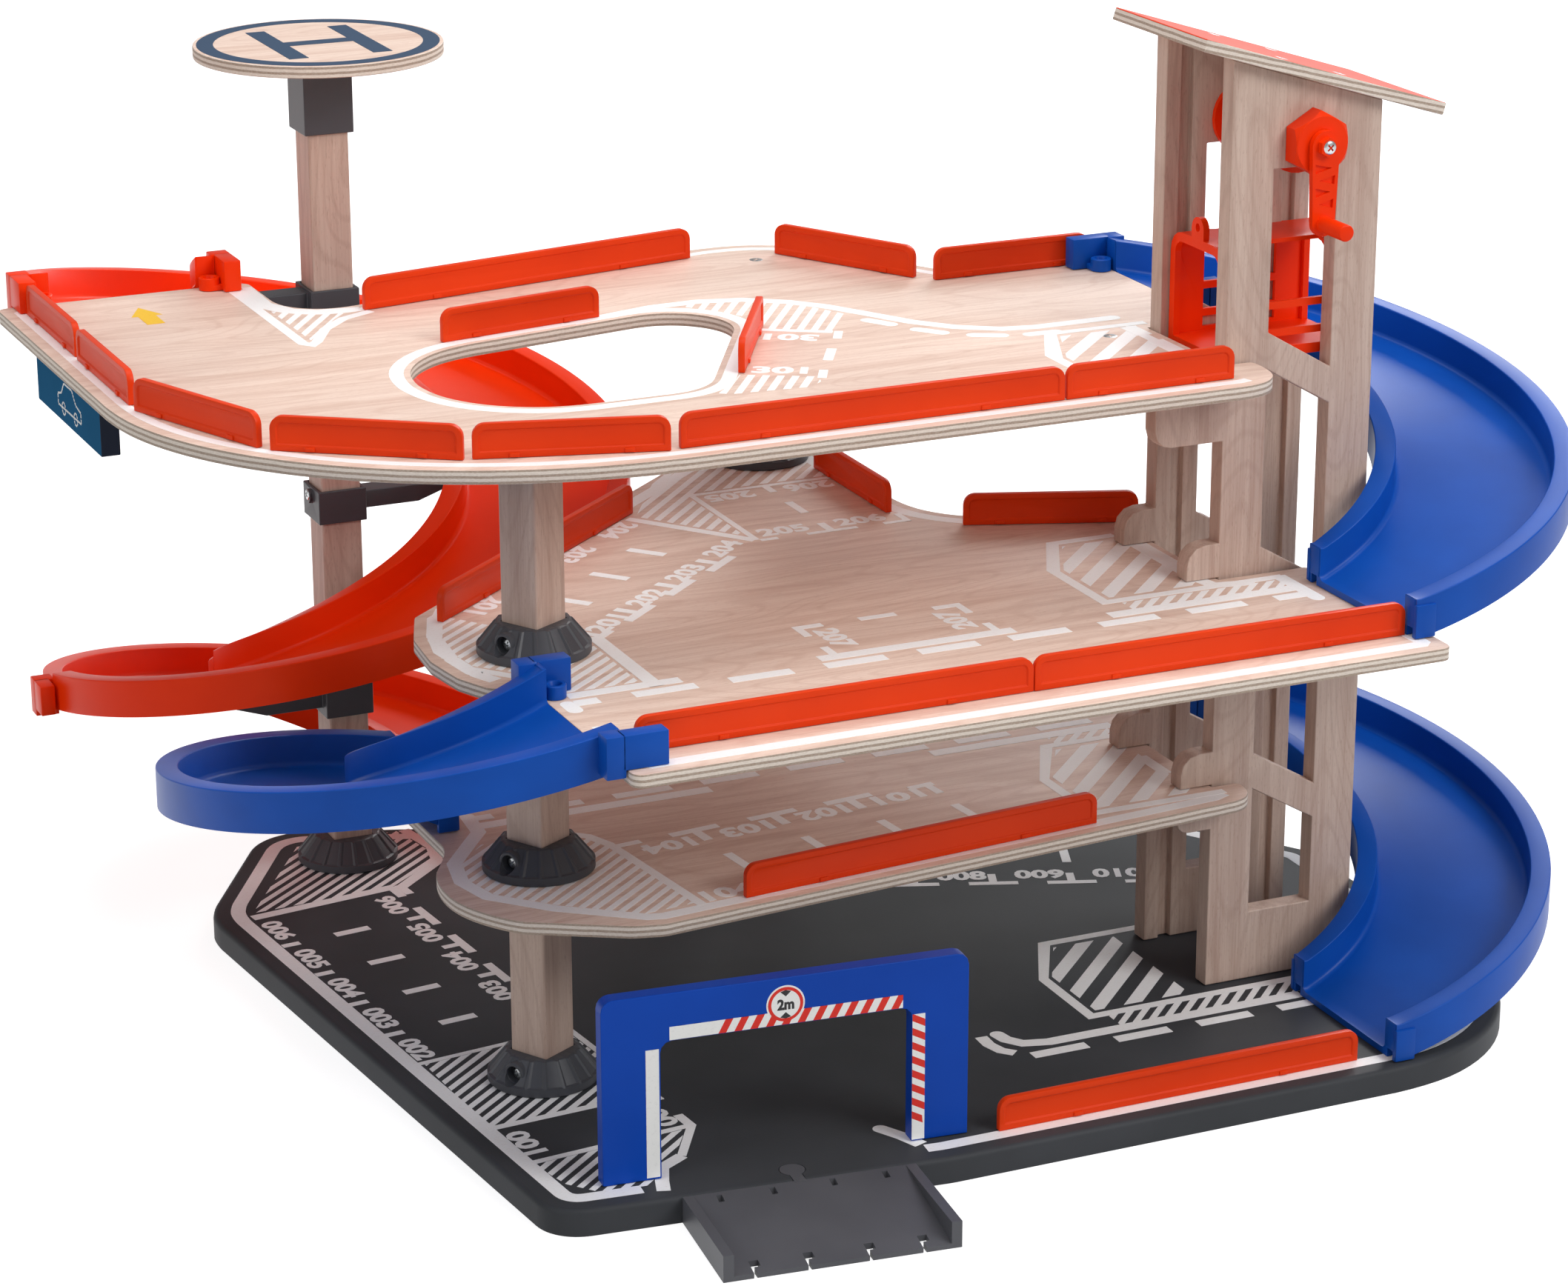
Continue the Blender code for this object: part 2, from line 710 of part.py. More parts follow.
railing("rail_3_left_a", 3, -0.1445, 0.2720, -0.1445, 0.1895)
railing("rail_3_left_b", 3, -0.1450, 0.1845, -0.1450, 0.1020)
railing("rail_3_left_c", 3, -0.1455, 0.0938, -0.1145, 0.0157)
railing("rail_3_left_d", 3, -0.1110, 0.0110, -0.0431, -0.0364)
railing("rail_3_front_a", 3, -0.0388, -0.0365, 0.0402, -0.0586)
railing("rail_3_front_b", 3, 0.0452, -0.0577, 0.2250, -0.0577)
railing("rail_3_front_c", 3, 0.2261, -0.0577, 0.3084, -0.0577)
railing("rail_3_back_a", 3, 0.1770, 0.2475, 0.00095, 0.2176)
railing("rail_3_hole_a", 3, 0.01405, 0.1443, 0.0952, 0.1577)
railing("rail_3_hole_b", 3, 0.1554, 0.1133, 0.1145, 0.0416)
railing("rail_3_back_b", 3, 0.2618, 0.1655, 0.2216, 0.2373)
railing("rail_3_back_c", 3, 0.3495, 0.1582, 0.2670, 0.1582)
railing("rail_2_diagonal", 2, 0.1129, 0.1695, -0.0250, 0.05375)
railing("rail_2_stall", 2, 0.2265, 0.1175, 0.2265, 0.2000)
railing("rail_2_back", 2, 0.3262, 0.0583, 0.2490, 0.0875)
railing("rail_2_front_a", 2, -0.00875, -0.1363, 0.1712, -0.1363)
railing("rail_2_front_b", 2, 0.1716, -0.1366, 0.3508, -0.1380)
railing("rail_1_front", 1, 0.0690, -0.0714, 0.2454, -0.0552)
railing("rail_0_front", 0, 0.1580, -0.1360, 0.3380, -0.1360)


# Lift tower boards with hooks, windows and guide grooves
def board(name, side):
    top_left = tower_top
    top_right = tower_top - roof_slope * (tower_right - tower_left)
    outline = [
        (tower_right, fit_gap, 0.0),
        (tower_right, top_right, 0.0),
        (tower_left, top_left, 0.0),
    ]
    deck_low = 3 * level_pitch - deck_thick - fit_gap
    outline += [
        (tower_left, deck_low, 0.0),
        (tower_left - bracket_reach, deck_low, 0.0),
        (tower_left - bracket_reach, deck_low + fit_gap + deck_thick - bracket_drop, 0.008),
        (tower_left, deck_low + fit_gap + deck_thick - bracket_drop, 0.0),
    ]
    for level in (2, 1):
        top = level * level_pitch
        tip = tower_left - hook_reach
        low_tip = tower_left - lower_hook_reach
        outline += [
            (tower_left, top + hook_height, 0.0),
            (tip, top + hook_height, hook_radius),
            (tip, top + fit_gap, 0.0),
            (tower_left, top + fit_gap, 0.0),
            (tower_left, top - deck_thick - fit_gap, 0.0),
            (low_tip, top - deck_thick - fit_gap, 0.0),
            (low_tip, top - lower_hook_drop, 0.006),
            (tower_left, top - lower_hook_drop, 0.0),
        ]
    outline.append((tower_left, fit_gap, 0.0))
    ends = sorted((side * tower_inner, side * (tower_inner + board_thick)))
    body = add(name, prism(rounded(outline), ends[0], ends[1], "Y"), beech)
    left = tower_left + stile
    right = tower_right - stile
    levels = [1, 2, 3]
    lows = [(window_sill, window_sill)]
    lows += [(k * level_pitch + band_upper, k * level_pitch + band_upper - band_fall) for k in levels]
    highs = [(k * level_pitch + band_lower, k * level_pitch + band_lower - band_fall) for k in levels]
    highs += [(window_top, window_top)]
    for (low_l, low_r), (high_l, high_r) in zip(lows, highs):
        pane = [(left, low_l), (right, low_r), (right, high_r), (left, high_l)]
        thick = prism(pane, ends[0] - 0.002, ends[1] + 0.002, "Y")
        cut(body, add(name + "_window", thick))
    for edge in (tower_left + groove_inset, tower_right - groove_inset - groove_width):
        depth = sorted((side * (tower_inner - 0.002), side * (tower_inner + groove_depth)))
        groove = box(edge, edge + groove_width, depth[0], depth[1], -0.01, tower_top + 0.02)
        cut(body, add(name + "_groove", groove))
    bore = circle(crank_x, crank_z, shaft_radius + fit_gap, 20)
    cut(body, add(name + "_bore", prism(bore, ends[0] - 0.002, ends[1] + 0.002, "Y")))
    return body


board("tower_front", -1)
board("tower_rear", 1)

# Roof board
cosine = 1 / math.sqrt(1 + roof_slope**2)
lift = fit_gap / cosine
thick_z = deck_thick / cosine
roof_low_left = tower_top - roof_slope * (roof_left - tower_left) + lift
roof_low_right = tower_top - roof_slope * (roof_right - tower_left) + lift
lean = roof_slope * cosine * deck_thick
rise = deck_thick * cosine
roof_outline = [
    (roof_left, roof_low_left),
    (roof_right, roof_low_right),
    (roof_right + lean, roof_low_right + rise),
    (roof_left + lean, roof_low_left + rise),
]
add("tower_roof", prism(roof_outline, -roof_half, roof_half, "Y"), veneer)

# Crank bearing: a hexagonal boss whose front is turned down to a cone
board_front = -(tower_inner + board_thick)
hexagon = []
for k in range(6):
    t = math.radians(30 + 60 * k)
    across = boss_flat / math.cos(math.pi / 6)
    hexagon.append((across * math.cos(t), across * math.sin(t)))
bearing_spot = Matrix.Translation((crank_x, board_front - fit_gap, crank_z))
bearing = add("crank_bearing", prism(hexagon, -boss_deep, 0.0, "Y"), red, bearing_spot)
lathe = [
    (0.0, -0.02),
    (boss_flat * 1.4, -0.02),
    (boss_flat * 1.4, boss_deep - boss_chamfer),
    (boss_flat * 1.17, boss_deep - boss_chamfer),
    (boss_flat * 0.97, boss_deep + 0.00005),
    (0.0, boss_deep + 0.00005),
]
facing = bearing_spot @ Matrix.Rotation(math.pi / 2, 4, "X")
boolean(bearing, add("boss_cone", revolve(lathe, 32), None, facing), "INTERSECT")
bore = circle(0.0, 0.0, shaft_radius + fit_gap, 20)
cut(bearing, add("bearing_bore", prism(bore, -0.02, 0.01, "Y"), None, bearing_spot))

# Crank: shaft, rope drum, flanges and the ribbed arm with its handle, on the joint axis
crank_spot = Matrix.Translation((crank_x, 0.0, crank_z))
face_y = board_front - fit_gap - boss_deep - fit_gap
arm_front = face_y - arm_thick
inside = tower_inner - fit_gap
shaft = [
    (0.0, -(tower_inner + board_thick)),
    (shaft_radius, -(tower_inner + board_thick)),
    (shaft_radius, -inside),
    (flange_radius, -inside),
    (flange_radius, -inside + flange_thick),
    (drum_radius, -inside + flange_thick),
    (drum_radius, inside - flange_thick),
    (flange_radius, inside - flange_thick),
    (flange_radius, inside),
    (shaft_radius, inside),
    (shaft_radius, -face_y + 0.001),
    (0.0, -face_y + 0.001),
]
turned = crank_spot @ Matrix.Rotation(math.pi / 2, 4, "X")
crank = add("crank", revolve(shaft, 28), red, crank_spot)
crank.data.transform(Matrix.Rotation(math.pi / 2, 4, "X"))
side_a = [(arm_hub * math.cos(t), arm_hub * math.sin(t)) for t in
          [math.radians(-8 + 196 * k / 12) for k in range(13)]]
side_b = [(arm_end * math.cos(t), -arm_length + arm_end * math.sin(t)) for t in
          [math.radians(183 + 174 * k / 8) for k in range(9)]]
arm = prism(side_a + side_b, arm_front, face_y, "Y")
join(crank, add("crank_arm", arm, None, crank_spot))
rim = arm_rim
pocket_top = -arm_hub - 0.0002
pocket_low = -arm_length + arm_end + 0.0006
inner_top = arm_hub * 0.93 - rim
inner_low = arm_end - rim
rib = 0.0006
zig = [pocket_top + (pocket_low - pocket_top) * k / 4 for k in range(5)]
widths = [inner_top + (inner_low - inner_top) * k / 4 for k in range(5)]
for k in range(4):
    way = 1 if k % 2 else -1
    pocket = [
        (way * widths[k], zig[k] - rib),
        (way * widths[k + 1], zig[k + 1] + rib),
        (-way * (widths[k] + widths[k + 1]) / 2 + way * 3 * rib, (zig[k] + zig[k + 1]) / 2),
    ]
    deep = prism(pocket, arm_front - 0.002, arm_front + arm_panel, "Y")
    cut(crank, add("crank_pocket", deep, None, crank_spot))
hub = [(arm_hub * 0.66 * math.cos(math.radians(30 + 60 * k)),
        arm_hub * 0.66 * math.sin(math.radians(30 + 60 * k))) for k in range(6)]
join(crank, add("crank_hub", prism(hub, arm_front - hub_rise, arm_front + 0.001, "Y"), None, crank_spot))
grip = circle(0.0, -arm_length, handle_radius, 20)
grip_bm = prism(grip, arm_front - handle_length, arm_front + 0.001, "Y")
tip_edges = [e for e in grip_bm.edges if all(v.co.y < arm_front - handle_length + 1e-7 for v in e.verts)]
bmesh.ops.bevel(grip_bm, geom=tip_edges, offset=0.0007, segments=2, affect="EDGES", profile=0.5)
join(crank, add("crank_handle", grip_bm, None, crank_spot))

# Lift car: an arched shell with a floor, open ends, rungs at the sides and two eyelets
car_x = (car_left + car_right) / 2
car_z = 3 * level_pitch
car_spot = spot(car_x, 0.0, car_z)
reach = (car_right - car_left) / 2
height = car_top - car_z
floor_low = -car_floor
outside = rounded(
    [
        (-car_half, floor_low, 0.0),
        (car_half, floor_low, 0.0),
        (car_half, height, car_corner),
        (-car_half, height, car_corner),
    ],
    22.5,
)
car = add("lift_car", prism(outside, -reach, reach, "X"), red, car_spot)
inside_half = car_half - car_skin
inside_car = rounded(
    [
        (-inside_half, 0.0, 0.0),
        (inside_half, 0.0, 0.0),
        (inside_half, height - car_skin, car_corner - car_skin),
        (-inside_half, height - car_skin, car_corner - car_skin),
    ],
    22.5,
)
rim_half = car_half - car_rim
rim_hole = rounded(
    [
        (-rim_half, 0.0, 0.0),
        (rim_half, 0.0, 0.0),
        (rim_half, height - car_rim, car_corner - car_rim),
        (-rim_half, height - car_rim, car_corner - car_rim),
    ],
    22.5,
)
room = prism(inside_car, -reach + car_rim_deep, reach - car_rim_deep, "X")
cut(car, add("car_room", room, None, car_spot))
cut(car, add("car_way", prism(rim_hole, -reach - 0.002, reach + 0.002, "X"), None, car_spot))
gap_half = reach - car_plate
bars = [0.0018, rung_low - rung_thick / 2, rung_low + rung_thick / 2]
bars += [rung_high - rung_thick / 2, rung_high + rung_thick / 2, height - car_corner - 0.001]
for k in range(3):
    window = box(-gap_half, gap_half, -0.05, 0.05, bars[2 * k], bars[2 * k + 1])
    cut(car, add("car_window", window, None, car_spot))
for side in (-1, 1):
    ends = sorted((side * reach, side * (reach - car_rim_deep)))
    ear = [(-eye_radius, height - 0.001), (eye_radius, height - 0.001)]
    turns = [math.radians(180 * k / 8) for k in range(9)]
    ear += [(eye_radius * math.cos(t), height + eye_rise + eye_radius * math.sin(t)) for t in turns]
    join(car, add("car_eye", prism(ear, ends[0], ends[1], "X"), None, car_spot))
    eye = circle(0.0, height + eye_rise + 0.0006, eye_hole, 14)
    cut(car, add("car_eye_hole", prism(eye, ends[0] - 0.002, ends[1] + 0.002, "X"), None, car_spot))

# Sign block under the top deck's left edge
sign_top = 3 * level_pitch - deck_thick - fit_gap
sign = (sign_x, sign_x + sign_thick, sign_y, sign_y + sign_width, sign_top - sign_height, sign_top)
add("sign_block", box(*sign), sign_blue)
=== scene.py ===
import math
import bmesh
import bpy
from mathutils import Matrix, Vector
from mathutils.geometry import tessellate_polygon


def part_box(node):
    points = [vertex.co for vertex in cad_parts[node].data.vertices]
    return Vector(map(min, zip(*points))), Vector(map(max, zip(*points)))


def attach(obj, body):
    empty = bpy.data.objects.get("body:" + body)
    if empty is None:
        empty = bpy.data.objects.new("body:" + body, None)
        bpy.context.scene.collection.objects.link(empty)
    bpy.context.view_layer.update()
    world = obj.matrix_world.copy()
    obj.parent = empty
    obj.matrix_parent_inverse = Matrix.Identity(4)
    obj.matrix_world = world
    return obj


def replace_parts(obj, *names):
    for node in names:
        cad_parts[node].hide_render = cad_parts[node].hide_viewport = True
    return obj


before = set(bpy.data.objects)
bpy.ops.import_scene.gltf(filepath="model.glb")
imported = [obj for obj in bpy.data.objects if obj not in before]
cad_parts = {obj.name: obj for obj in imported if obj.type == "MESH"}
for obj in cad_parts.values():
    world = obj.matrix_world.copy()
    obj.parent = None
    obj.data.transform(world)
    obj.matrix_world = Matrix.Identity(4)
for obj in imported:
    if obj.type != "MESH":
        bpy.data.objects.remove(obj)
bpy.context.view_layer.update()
print("scene: frame loaded,", len(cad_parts), "nodes")

# One plan unit is the 100 mm between two decks, counted from the front post and the top of the base
plan = {"unit": 0.1, "x": -0.185, "y": -0.090, "z": 0.012}


def spot(x, y, z=0.0):
    unit = plan["unit"]
    return Vector((x * unit + plan["x"], y * unit + plan["y"], z * unit + plan["z"]))


def sRgb(text):
    parts = [int(text[i:i + 2], 16) / 255 for i in (1, 3, 5)]
    return tuple(c / 12.92 if c <= 0.04045 else ((c + 0.055) / 1.055) ** 2.4 for c in parts) + (1.0,)


def addNode(tree, kind, settings=None, values=None, links=None):
    node = tree.nodes.new(kind)
    for key, value in (settings or {}).items():
        setattr(node, key, value)
    for key, value in (values or {}).items():
        node.inputs[key].default_value = value
    for key, socket in (links or {}).items():
        tree.links.new(socket, node.inputs[key])
    return node


def startMaterial(name, roughness, ior=1.5, specular=0.5):
    material = bpy.data.materials.new(name)
    material.use_nodes = True
    tree = material.node_tree
    shader = tree.nodes["Principled BSDF"]
    shader.inputs["Roughness"].default_value = roughness
    shader.inputs["IOR"].default_value = ior
    shader.inputs["Specular IOR Level"].default_value = specular
    where = addNode(tree, "ShaderNodeTexCoord").outputs["Object"]
    return material, tree, shader, where


def pattern(tree, where, size, detail=3.0):
    # size is the pattern's real length along X, Y and Z in millimetres
    scale = tuple(1000.0 / s for s in size)
    mapping = addNode(tree, "ShaderNodeMapping", values={"Scale": scale}, links={"Vector": where})
    return addNode(tree, "ShaderNodeTexNoise", values={"Scale": 1.0, "Detail": detail}, links={"Vector": mapping.outputs["Vector"]}).outputs["Fac"]


def ramp(tree, fac, stops):
    node = addNode(tree, "ShaderNodeValToRGB", links={"Fac": fac})
    band = node.color_ramp
    while len(band.elements) < len(stops):
        band.elements.new(0.5)
    for element, (at, colour) in zip(band.elements, stops):
        element.position = at
        element.color = sRgb(colour) if isinstance(colour, str) else (colour, colour, colour, 1.0)
    return node.outputs["Color"]


def blendIn(tree, fac, a, b, way="MIX"):
    node = addNode(tree, "ShaderNodeMix", {"data_type": "RGBA", "blend_type": way})
    for index, value in ((0, fac), (6, a), (7, b)):
        if isinstance(value, (int, float, tuple)):
            node.inputs[index].default_value = value
        else:
            tree.links.new(value, node.inputs[index])
    return node.outputs[2]


def roughen(tree, shader, height, depth):
    # depth in millimetres
    bump = addNode(tree, "ShaderNodeBump", values={"Strength": 1.0, "Distance": depth / 1000}, links={"Height": height})
    tree.links.new(bump.outputs["Normal"], shader.inputs["Normal"])


# Beech: close, even wood with short darker flecks along the grain, matt under a thin water-based lacquer
def beech(name, light, mid, dark, along, roughness=0.52):
    material, tree, shader, where = startMaterial(name, roughness)
    fine = [0.8, 0.8, 0.8]
    fine[along] = 34.0
    broad = [7.0, 7.0, 7.0]
    broad[along] = 190.0
    fleck = [0.55, 0.55, 0.55]
    fleck[along] = 3.4  # real flecks are 0.2 mm wide; drawn wider so that they show
    grain = ramp(tree, pattern(tree, where, fine), [(0.34, mid), (0.62, light)])
    bands = ramp(tree, pattern(tree, where, broad), [(0.30, dark), (0.58, light)])
    colour = blendIn(tree, 0.45, grain, bands)
    # growth rings drawn as the level lines of a long soft noise
    rings = [46.0, 46.0, 46.0]
    rings[along] = 190.0
    level = addNode(tree, "ShaderNodeMath", {"operation": "MULTIPLY"}, {1: 118.0}, {0: pattern(tree, where, rings, 1.0)})
    wave = addNode(tree, "ShaderNodeMath", {"operation": "SINE"}, links={0: level.outputs[0]})
    colour = blendIn(tree, ramp(tree, wave.outputs[0], [(0.50, 0.0), (1.0, 0.26)]), colour, sRgb(dark))
    marks = ramp(tree, pattern(tree, where, fleck, 1.0), [(0.60, 0.0), (0.74, 0.42)])
    colour = blendIn(tree, marks, colour, sRgb(dark))
    tree.links.new(colour, shader.inputs["Base Color"])
    roughen(tree, shader, pattern(tree, where, fine), 0.03)
    return material


# Plywood edge: five beech layers, those cut across the grain darker and more open
def plyEdge(name, through=(0.0, 0.0, 1.0), light="#eaded2", dark="#9c8674", layer=1.25):
    material, tree, shader, where = startMaterial(name, 0.62)
    split = addNode(tree, "ShaderNodeVectorMath", {"operation": "DOT_PRODUCT"}, {1: through}, {0: where})
    waver = addNode(tree, "ShaderNodeMath", {"operation": "MULTIPLY"}, links={0: pattern(tree, where, (9, 9, 9))}, values={1: 0.0005})
    height = addNode(tree, "ShaderNodeMath", {"operation": "ADD"}, links={0: split.outputs["Value"], 1: waver.outputs[0]})
    turns = addNode(tree, "ShaderNodeMath", {"operation": "MULTIPLY"}, values={1: math.pi * 1000 / layer}, links={0: height.outputs[0]})
    wave = addNode(tree, "ShaderNodeMath", {"operation": "SINE"}, links={0: turns.outputs[0]})
    half = addNode(tree, "ShaderNodeMath", {"operation": "MULTIPLY_ADD"}, values={1: 0.5, 2: 0.5}, links={0: wave.outputs[0]})
    layers = ramp(tree, half.outputs[0], [(0.28, dark), (0.55, light)])
    fibres = ramp(tree, pattern(tree, where, (1.1, 1.1, 0.35)), [(0.35, "#b49f8e"), (0.62, "#efe4d8")])
    colour = blendIn(tree, 0.25, layers, fibres)
    tree.links.new(colour, shader.inputs["Base Color"])
    roughen(tree, shader, pattern(tree, where, (1.1, 1.1, 0.35)), 0.05)
    return material


# Moulded ABS: even colour right through, satin from a fine spark-eroded mould, slight flow shades
def moulded(name, colour, shade, roughness=0.36, grit=0.55, depth=0.012, specular=0.35):
    material, tree, shader, where = startMaterial(name, roughness, 1.54, specular)
    flow = ramp(tree, pattern(tree, where, (46, 46, 30)), [(0.30, shade), (0.66, colour)])
    tree.links.new(flow, shader.inputs["Base Color"])
    roughen(tree, shader, pattern(tree, where, (grit, grit, grit), 1.0), depth)
    return material


# Sprayed acrylic enamel on board: smooth colour with a soft orange peel
def enamel(name, colour, shade, roughness=0.34, peel=1.6, depth=0.02, specular=0.15):
    material, tree, shader, where = startMaterial(name, roughness, 1.49, specular)
    tint = ramp(tree, pattern(tree, where, (70, 70, 70)), [(0.32, shade), (0.64, colour)])
    tree.links.new(tint, shader.inputs["Base Color"])
    roughen(tree, shader, pattern(tree, where, (peel, peel, peel), 1.0), depth)
    return material


# Screen-printing ink: thin, matt, a little uneven over the grain
def ink(name, colour, worn):
    material, tree, shader, where = startMaterial(name, 0.55, 1.48)
    cover = ramp(tree, pattern(tree, where, (1.4, 0.5, 1.4), 2.0), [(0.26, worn), (0.42, colour)])
    tree.links.new(cover, shader.inputs["Base Color"])
    roughen(tree, shader, pattern(tree, where, (0.7, 0.7, 0.7), 1.0), 0.008)
    return material


# Zinc-plated steel screw: bright grey metal with fine turning marks
def zincSteel(name):
    material, tree, shader, where = startMaterial(name, 0.28)
    shader.inputs["Metallic"].default_value = 1.0
    tint = ramp(tree, pattern(tree, where, (3, 3, 3)), [(0.35, "#a9adb0"), (0.65, "#d3d5d6")])
    tree.links.new(tint, shader.inputs["Base Color"])
    roughen(tree, shader, pattern(tree, where, (0.3, 0.3, 0.3), 1.0), 0.01)
    return material


finish = {
    "deckTop": beech("beech veneer, lacquered", "#eed6c7", "#e0c1b0", "#cba592", 0),
    "deckEdge": plyEdge("beech plywood edge, sanded"),
    "post": beech("beech, planed, upright grain", "#d2bbac", "#c2a596", "#a98a7b", 2),
    "roofEdge": plyEdge("beech plywood edge, sanded, sloping", (0.2588, 0.0, 0.9659)),
    "base": enamel("fibreboard, charcoal lacquer", "#424448", "#3b3d40", 0.5, 0.8, 0.03),
    "black": moulded("black ABS, moulded", "#4b4d53", "#43454a", 0.42),
    "charcoal": moulded("charcoal ABS, moulded", "#57585d", "#4e4f54", 0.45),
    "red": moulded("red ABS, moulded", "#fa3a05", "#f23402", 0.34, specular=0.12),
    "blue": moulded("blue ABS, moulded", "#0a50b2", "#0848a4", 0.36, specular=0.16),
    "redEnamel": enamel("red enamel on plywood", "#e8400f", "#de390c", 0.36),
    "blueEnamel": enamel("blue enamel on fibreboard", "#0a48b4", "#0842a8", 0.36),
    "navyEnamel": enamel("navy enamel on board", "#2a3342", "#242c3a", 0.4),
    "whiteInk": ink("white screen-printing ink", "#ffffff", "#f5f1ee"),
    "navyInk": ink("navy screen-printing ink", "#203f5e", "#294763"),
    "yellowInk": ink("yellow screen-printing ink", "#f0c02a", "#e2b01f"),
    "redVinyl": ink("red vinyl sticker", "#e02a1c", "#d62618"),
    "whiteVinyl": ink("white vinyl sticker", "#f8f8f6", "#f0f0ee"),
    "blackVinyl": ink("black vinyl sticker", "#1d1d20", "#232326"),
    "signInk": enamel("blue sign print", "#2f6790", "#2c6289", 0.6, specular=0.0),
    "zinc": zincSteel("zinc-plated steel"),
}
print("scene: materials made,", len(finish))


# Shared tools for pieces
def settle(name, mesh, materials, body="garage", smooth=38):
    piece = bpy.data.objects.new(name, mesh)
    bpy.context.collection.objects.link(piece)
    if materials:
        mesh.materials.clear()
        for key in materials:
            mesh.materials.append(finish[key])
    if smooth:
        mesh.polygons.foreach_set("use_smooth", [True] * len(mesh.polygons))
        mesh.set_sharp_from_angle(angle=math.radians(smooth))
    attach(piece, body)
    return piece


def bakeModifiers(piece):
    graph = bpy.context.evaluated_depsgraph_get()
    mesh = bpy.data.meshes.new_from_object(piece.evaluated_get(graph))
    piece.modifiers.clear()
    piece.data = mesh
    return mesh


def cutOut(piece, low, high):
    bm = bmesh.new()
    made = bmesh.ops.create_cube(bm, size=1.0)
    size = Matrix.Diagonal((*(high - low), 1.0))
    bmesh.ops.transform(bm, matrix=Matrix.Translation((low + high) / 2) @ size, verts=made["verts"])
    cutBy(piece, bm)


def cutBy(piece, bm):
    mesh = bpy.data.meshes.new("cutter")
    bm.to_mesh(mesh)
    bm.free()
    tool = bpy.data.objects.new("cutter", mesh)
    bpy.context.collection.objects.link(tool)
    cut = piece.modifiers.new("cut", "BOOLEAN")
    cut.operation, cut.solver, cut.object = "DIFFERENCE", "EXACT", tool
    bpy.context.view_layer.update()
    bakeModifiers(piece)
    bpy.data.objects.remove(tool)


# A copy of a CAD node with its loose triangles merged, flat faces joined and edges eased
def eased(node, width, angle=34, segments=2, carve=()):
    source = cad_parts[node]
    mesh = source.data.copy()
    bm = bmesh.new()
    bm.from_mesh(mesh)
    bmesh.ops.remove_doubles(bm, verts=bm.verts, dist=0.00002)
    bmesh.ops.dissolve_limit(bm, angle_limit=math.radians(0.6), verts=bm.verts, edges=bm.edges)
    bm.to_mesh(mesh)
    bm.free()
    mesh.polygons.foreach_set("use_smooth", [True] * len(mesh.polygons))
    mesh.set_sharp_from_angle(angle=math.radians(angle))
    piece = bpy.data.objects.new("eased_" + node, mesh)
    bpy.context.collection.objects.link(piece)
    for low, high in carve:
        cutOut(piece, low, high)
    if width > 0:
        edge = piece.modifiers.new("ease", "BEVEL")
        edge.width = width
        edge.segments = segments
        edge.limit_method = "ANGLE"
        edge.angle_limit = math.radians(angle)
        edge.use_clamp_overlap = True
        edge.harden_normals = True
        bpy.context.view_layer.update()
        bakeModifiers(piece)
    return piece


def dress(node, materials, width=0.0004, body="garage", pick=None, angle=34, segments=2, carve=()):
    piece = eased(node, width, angle, segments, carve)
    mesh = piece.data
    mesh.materials.clear()
    for key in materials:
        mesh.materials.append(finish[key])
    if pick:
        mesh.polygons.foreach_set("material_index", [pick(face) for face in mesh.polygons])
    else:
        mesh.polygons.foreach_set("material_index", [0] * len(mesh.polygons))
    piece.name = "look_" + node
    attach(piece, body)
    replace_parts(piece, node)
    return piece


def flatOrEdge(face):
    return 0 if abs(face.normal.z) > 0.75 else 1


# Boards, posts, brackets and the other plain nodes
boards = {"edge": 0.0006, "post": 0.0009}

dress("helipad", ["deckTop", "deckEdge"], 0.0005, pick=flatOrEdge)
for node in sorted(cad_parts):
    if node.startswith("post_"):
        dress(node, ["post"], boards["post"])
    elif node.startswith("bracket_"):
        dress(node, ["black"], 0.0005)
dress("helipad_socket", ["black"], 0.0005)
dress("tower_front", ["post"], 0.0006)
dress("tower_rear", ["post"], 0.0006)
dress("tower_roof", ["redEnamel", "roofEdge"], 0.0005, pick=lambda face: 0 if face.normal.z > 0.6 else 1)
dress("entry_gate", ["blueEnamel"], 0.0005)
dress("entry_ramp", ["charcoal"], 0.0004)
dress("crank_bearing", ["red"], 0.0004)
dress("crank", ["red"], 0.0004, "crank_handle")
cage = {"x": 3.562, "open": 0.188, "flat": 0.140, "low": 3.376, "high": 3.51}
openings = []
for side in (-1, 1):
    ends = sorted((side * cage["flat"], side * 0.30))
    openings.append((spot(cage["x"] - cage["open"], ends[0], cage["low"]), spot(cage["x"] + cage["open"], ends[1], cage["high"])))
dress("lift_car", ["red"], 0.0004, "lift_cage", carve=openings)
dress("sign_block", ["signInk", "navyEnamel"], 0.0005, pick=lambda face: 0 if face.normal.x < -0.8 else 1)
print("scene: plain pieces dressed")


# Slides: the channel swept in small steps, with rounded rims
slideShape = {
    "radius": 0.1000, "halfWidth": 0.0450, "wall": 0.0095, "skin": 0.0026, "floor": 0.0030, "rim": 0.0150,
    "fillet": 0.0026, "edge": 0.0006, "steps": 72, "level": 0.1000, "gap": 0.0003, "clipStep": 0.0085,
    "clipBack": 0.0090, "innerGap": 0.0014, "earRadius": 0.0050, "dishRadius": 0.0034, "earHeight": 0.0062,
    "endBlock": 0.0100, "endStep": 0.0012, "endNotch": 0.0040,
}


def arc(x, y, r, start, end, count):
    turns = [math.radians(start + (end - start) * i / count) for i in range(count + 1)]
    return [(x + r * math.cos(t), y + r * math.sin(t)) for t in turns]


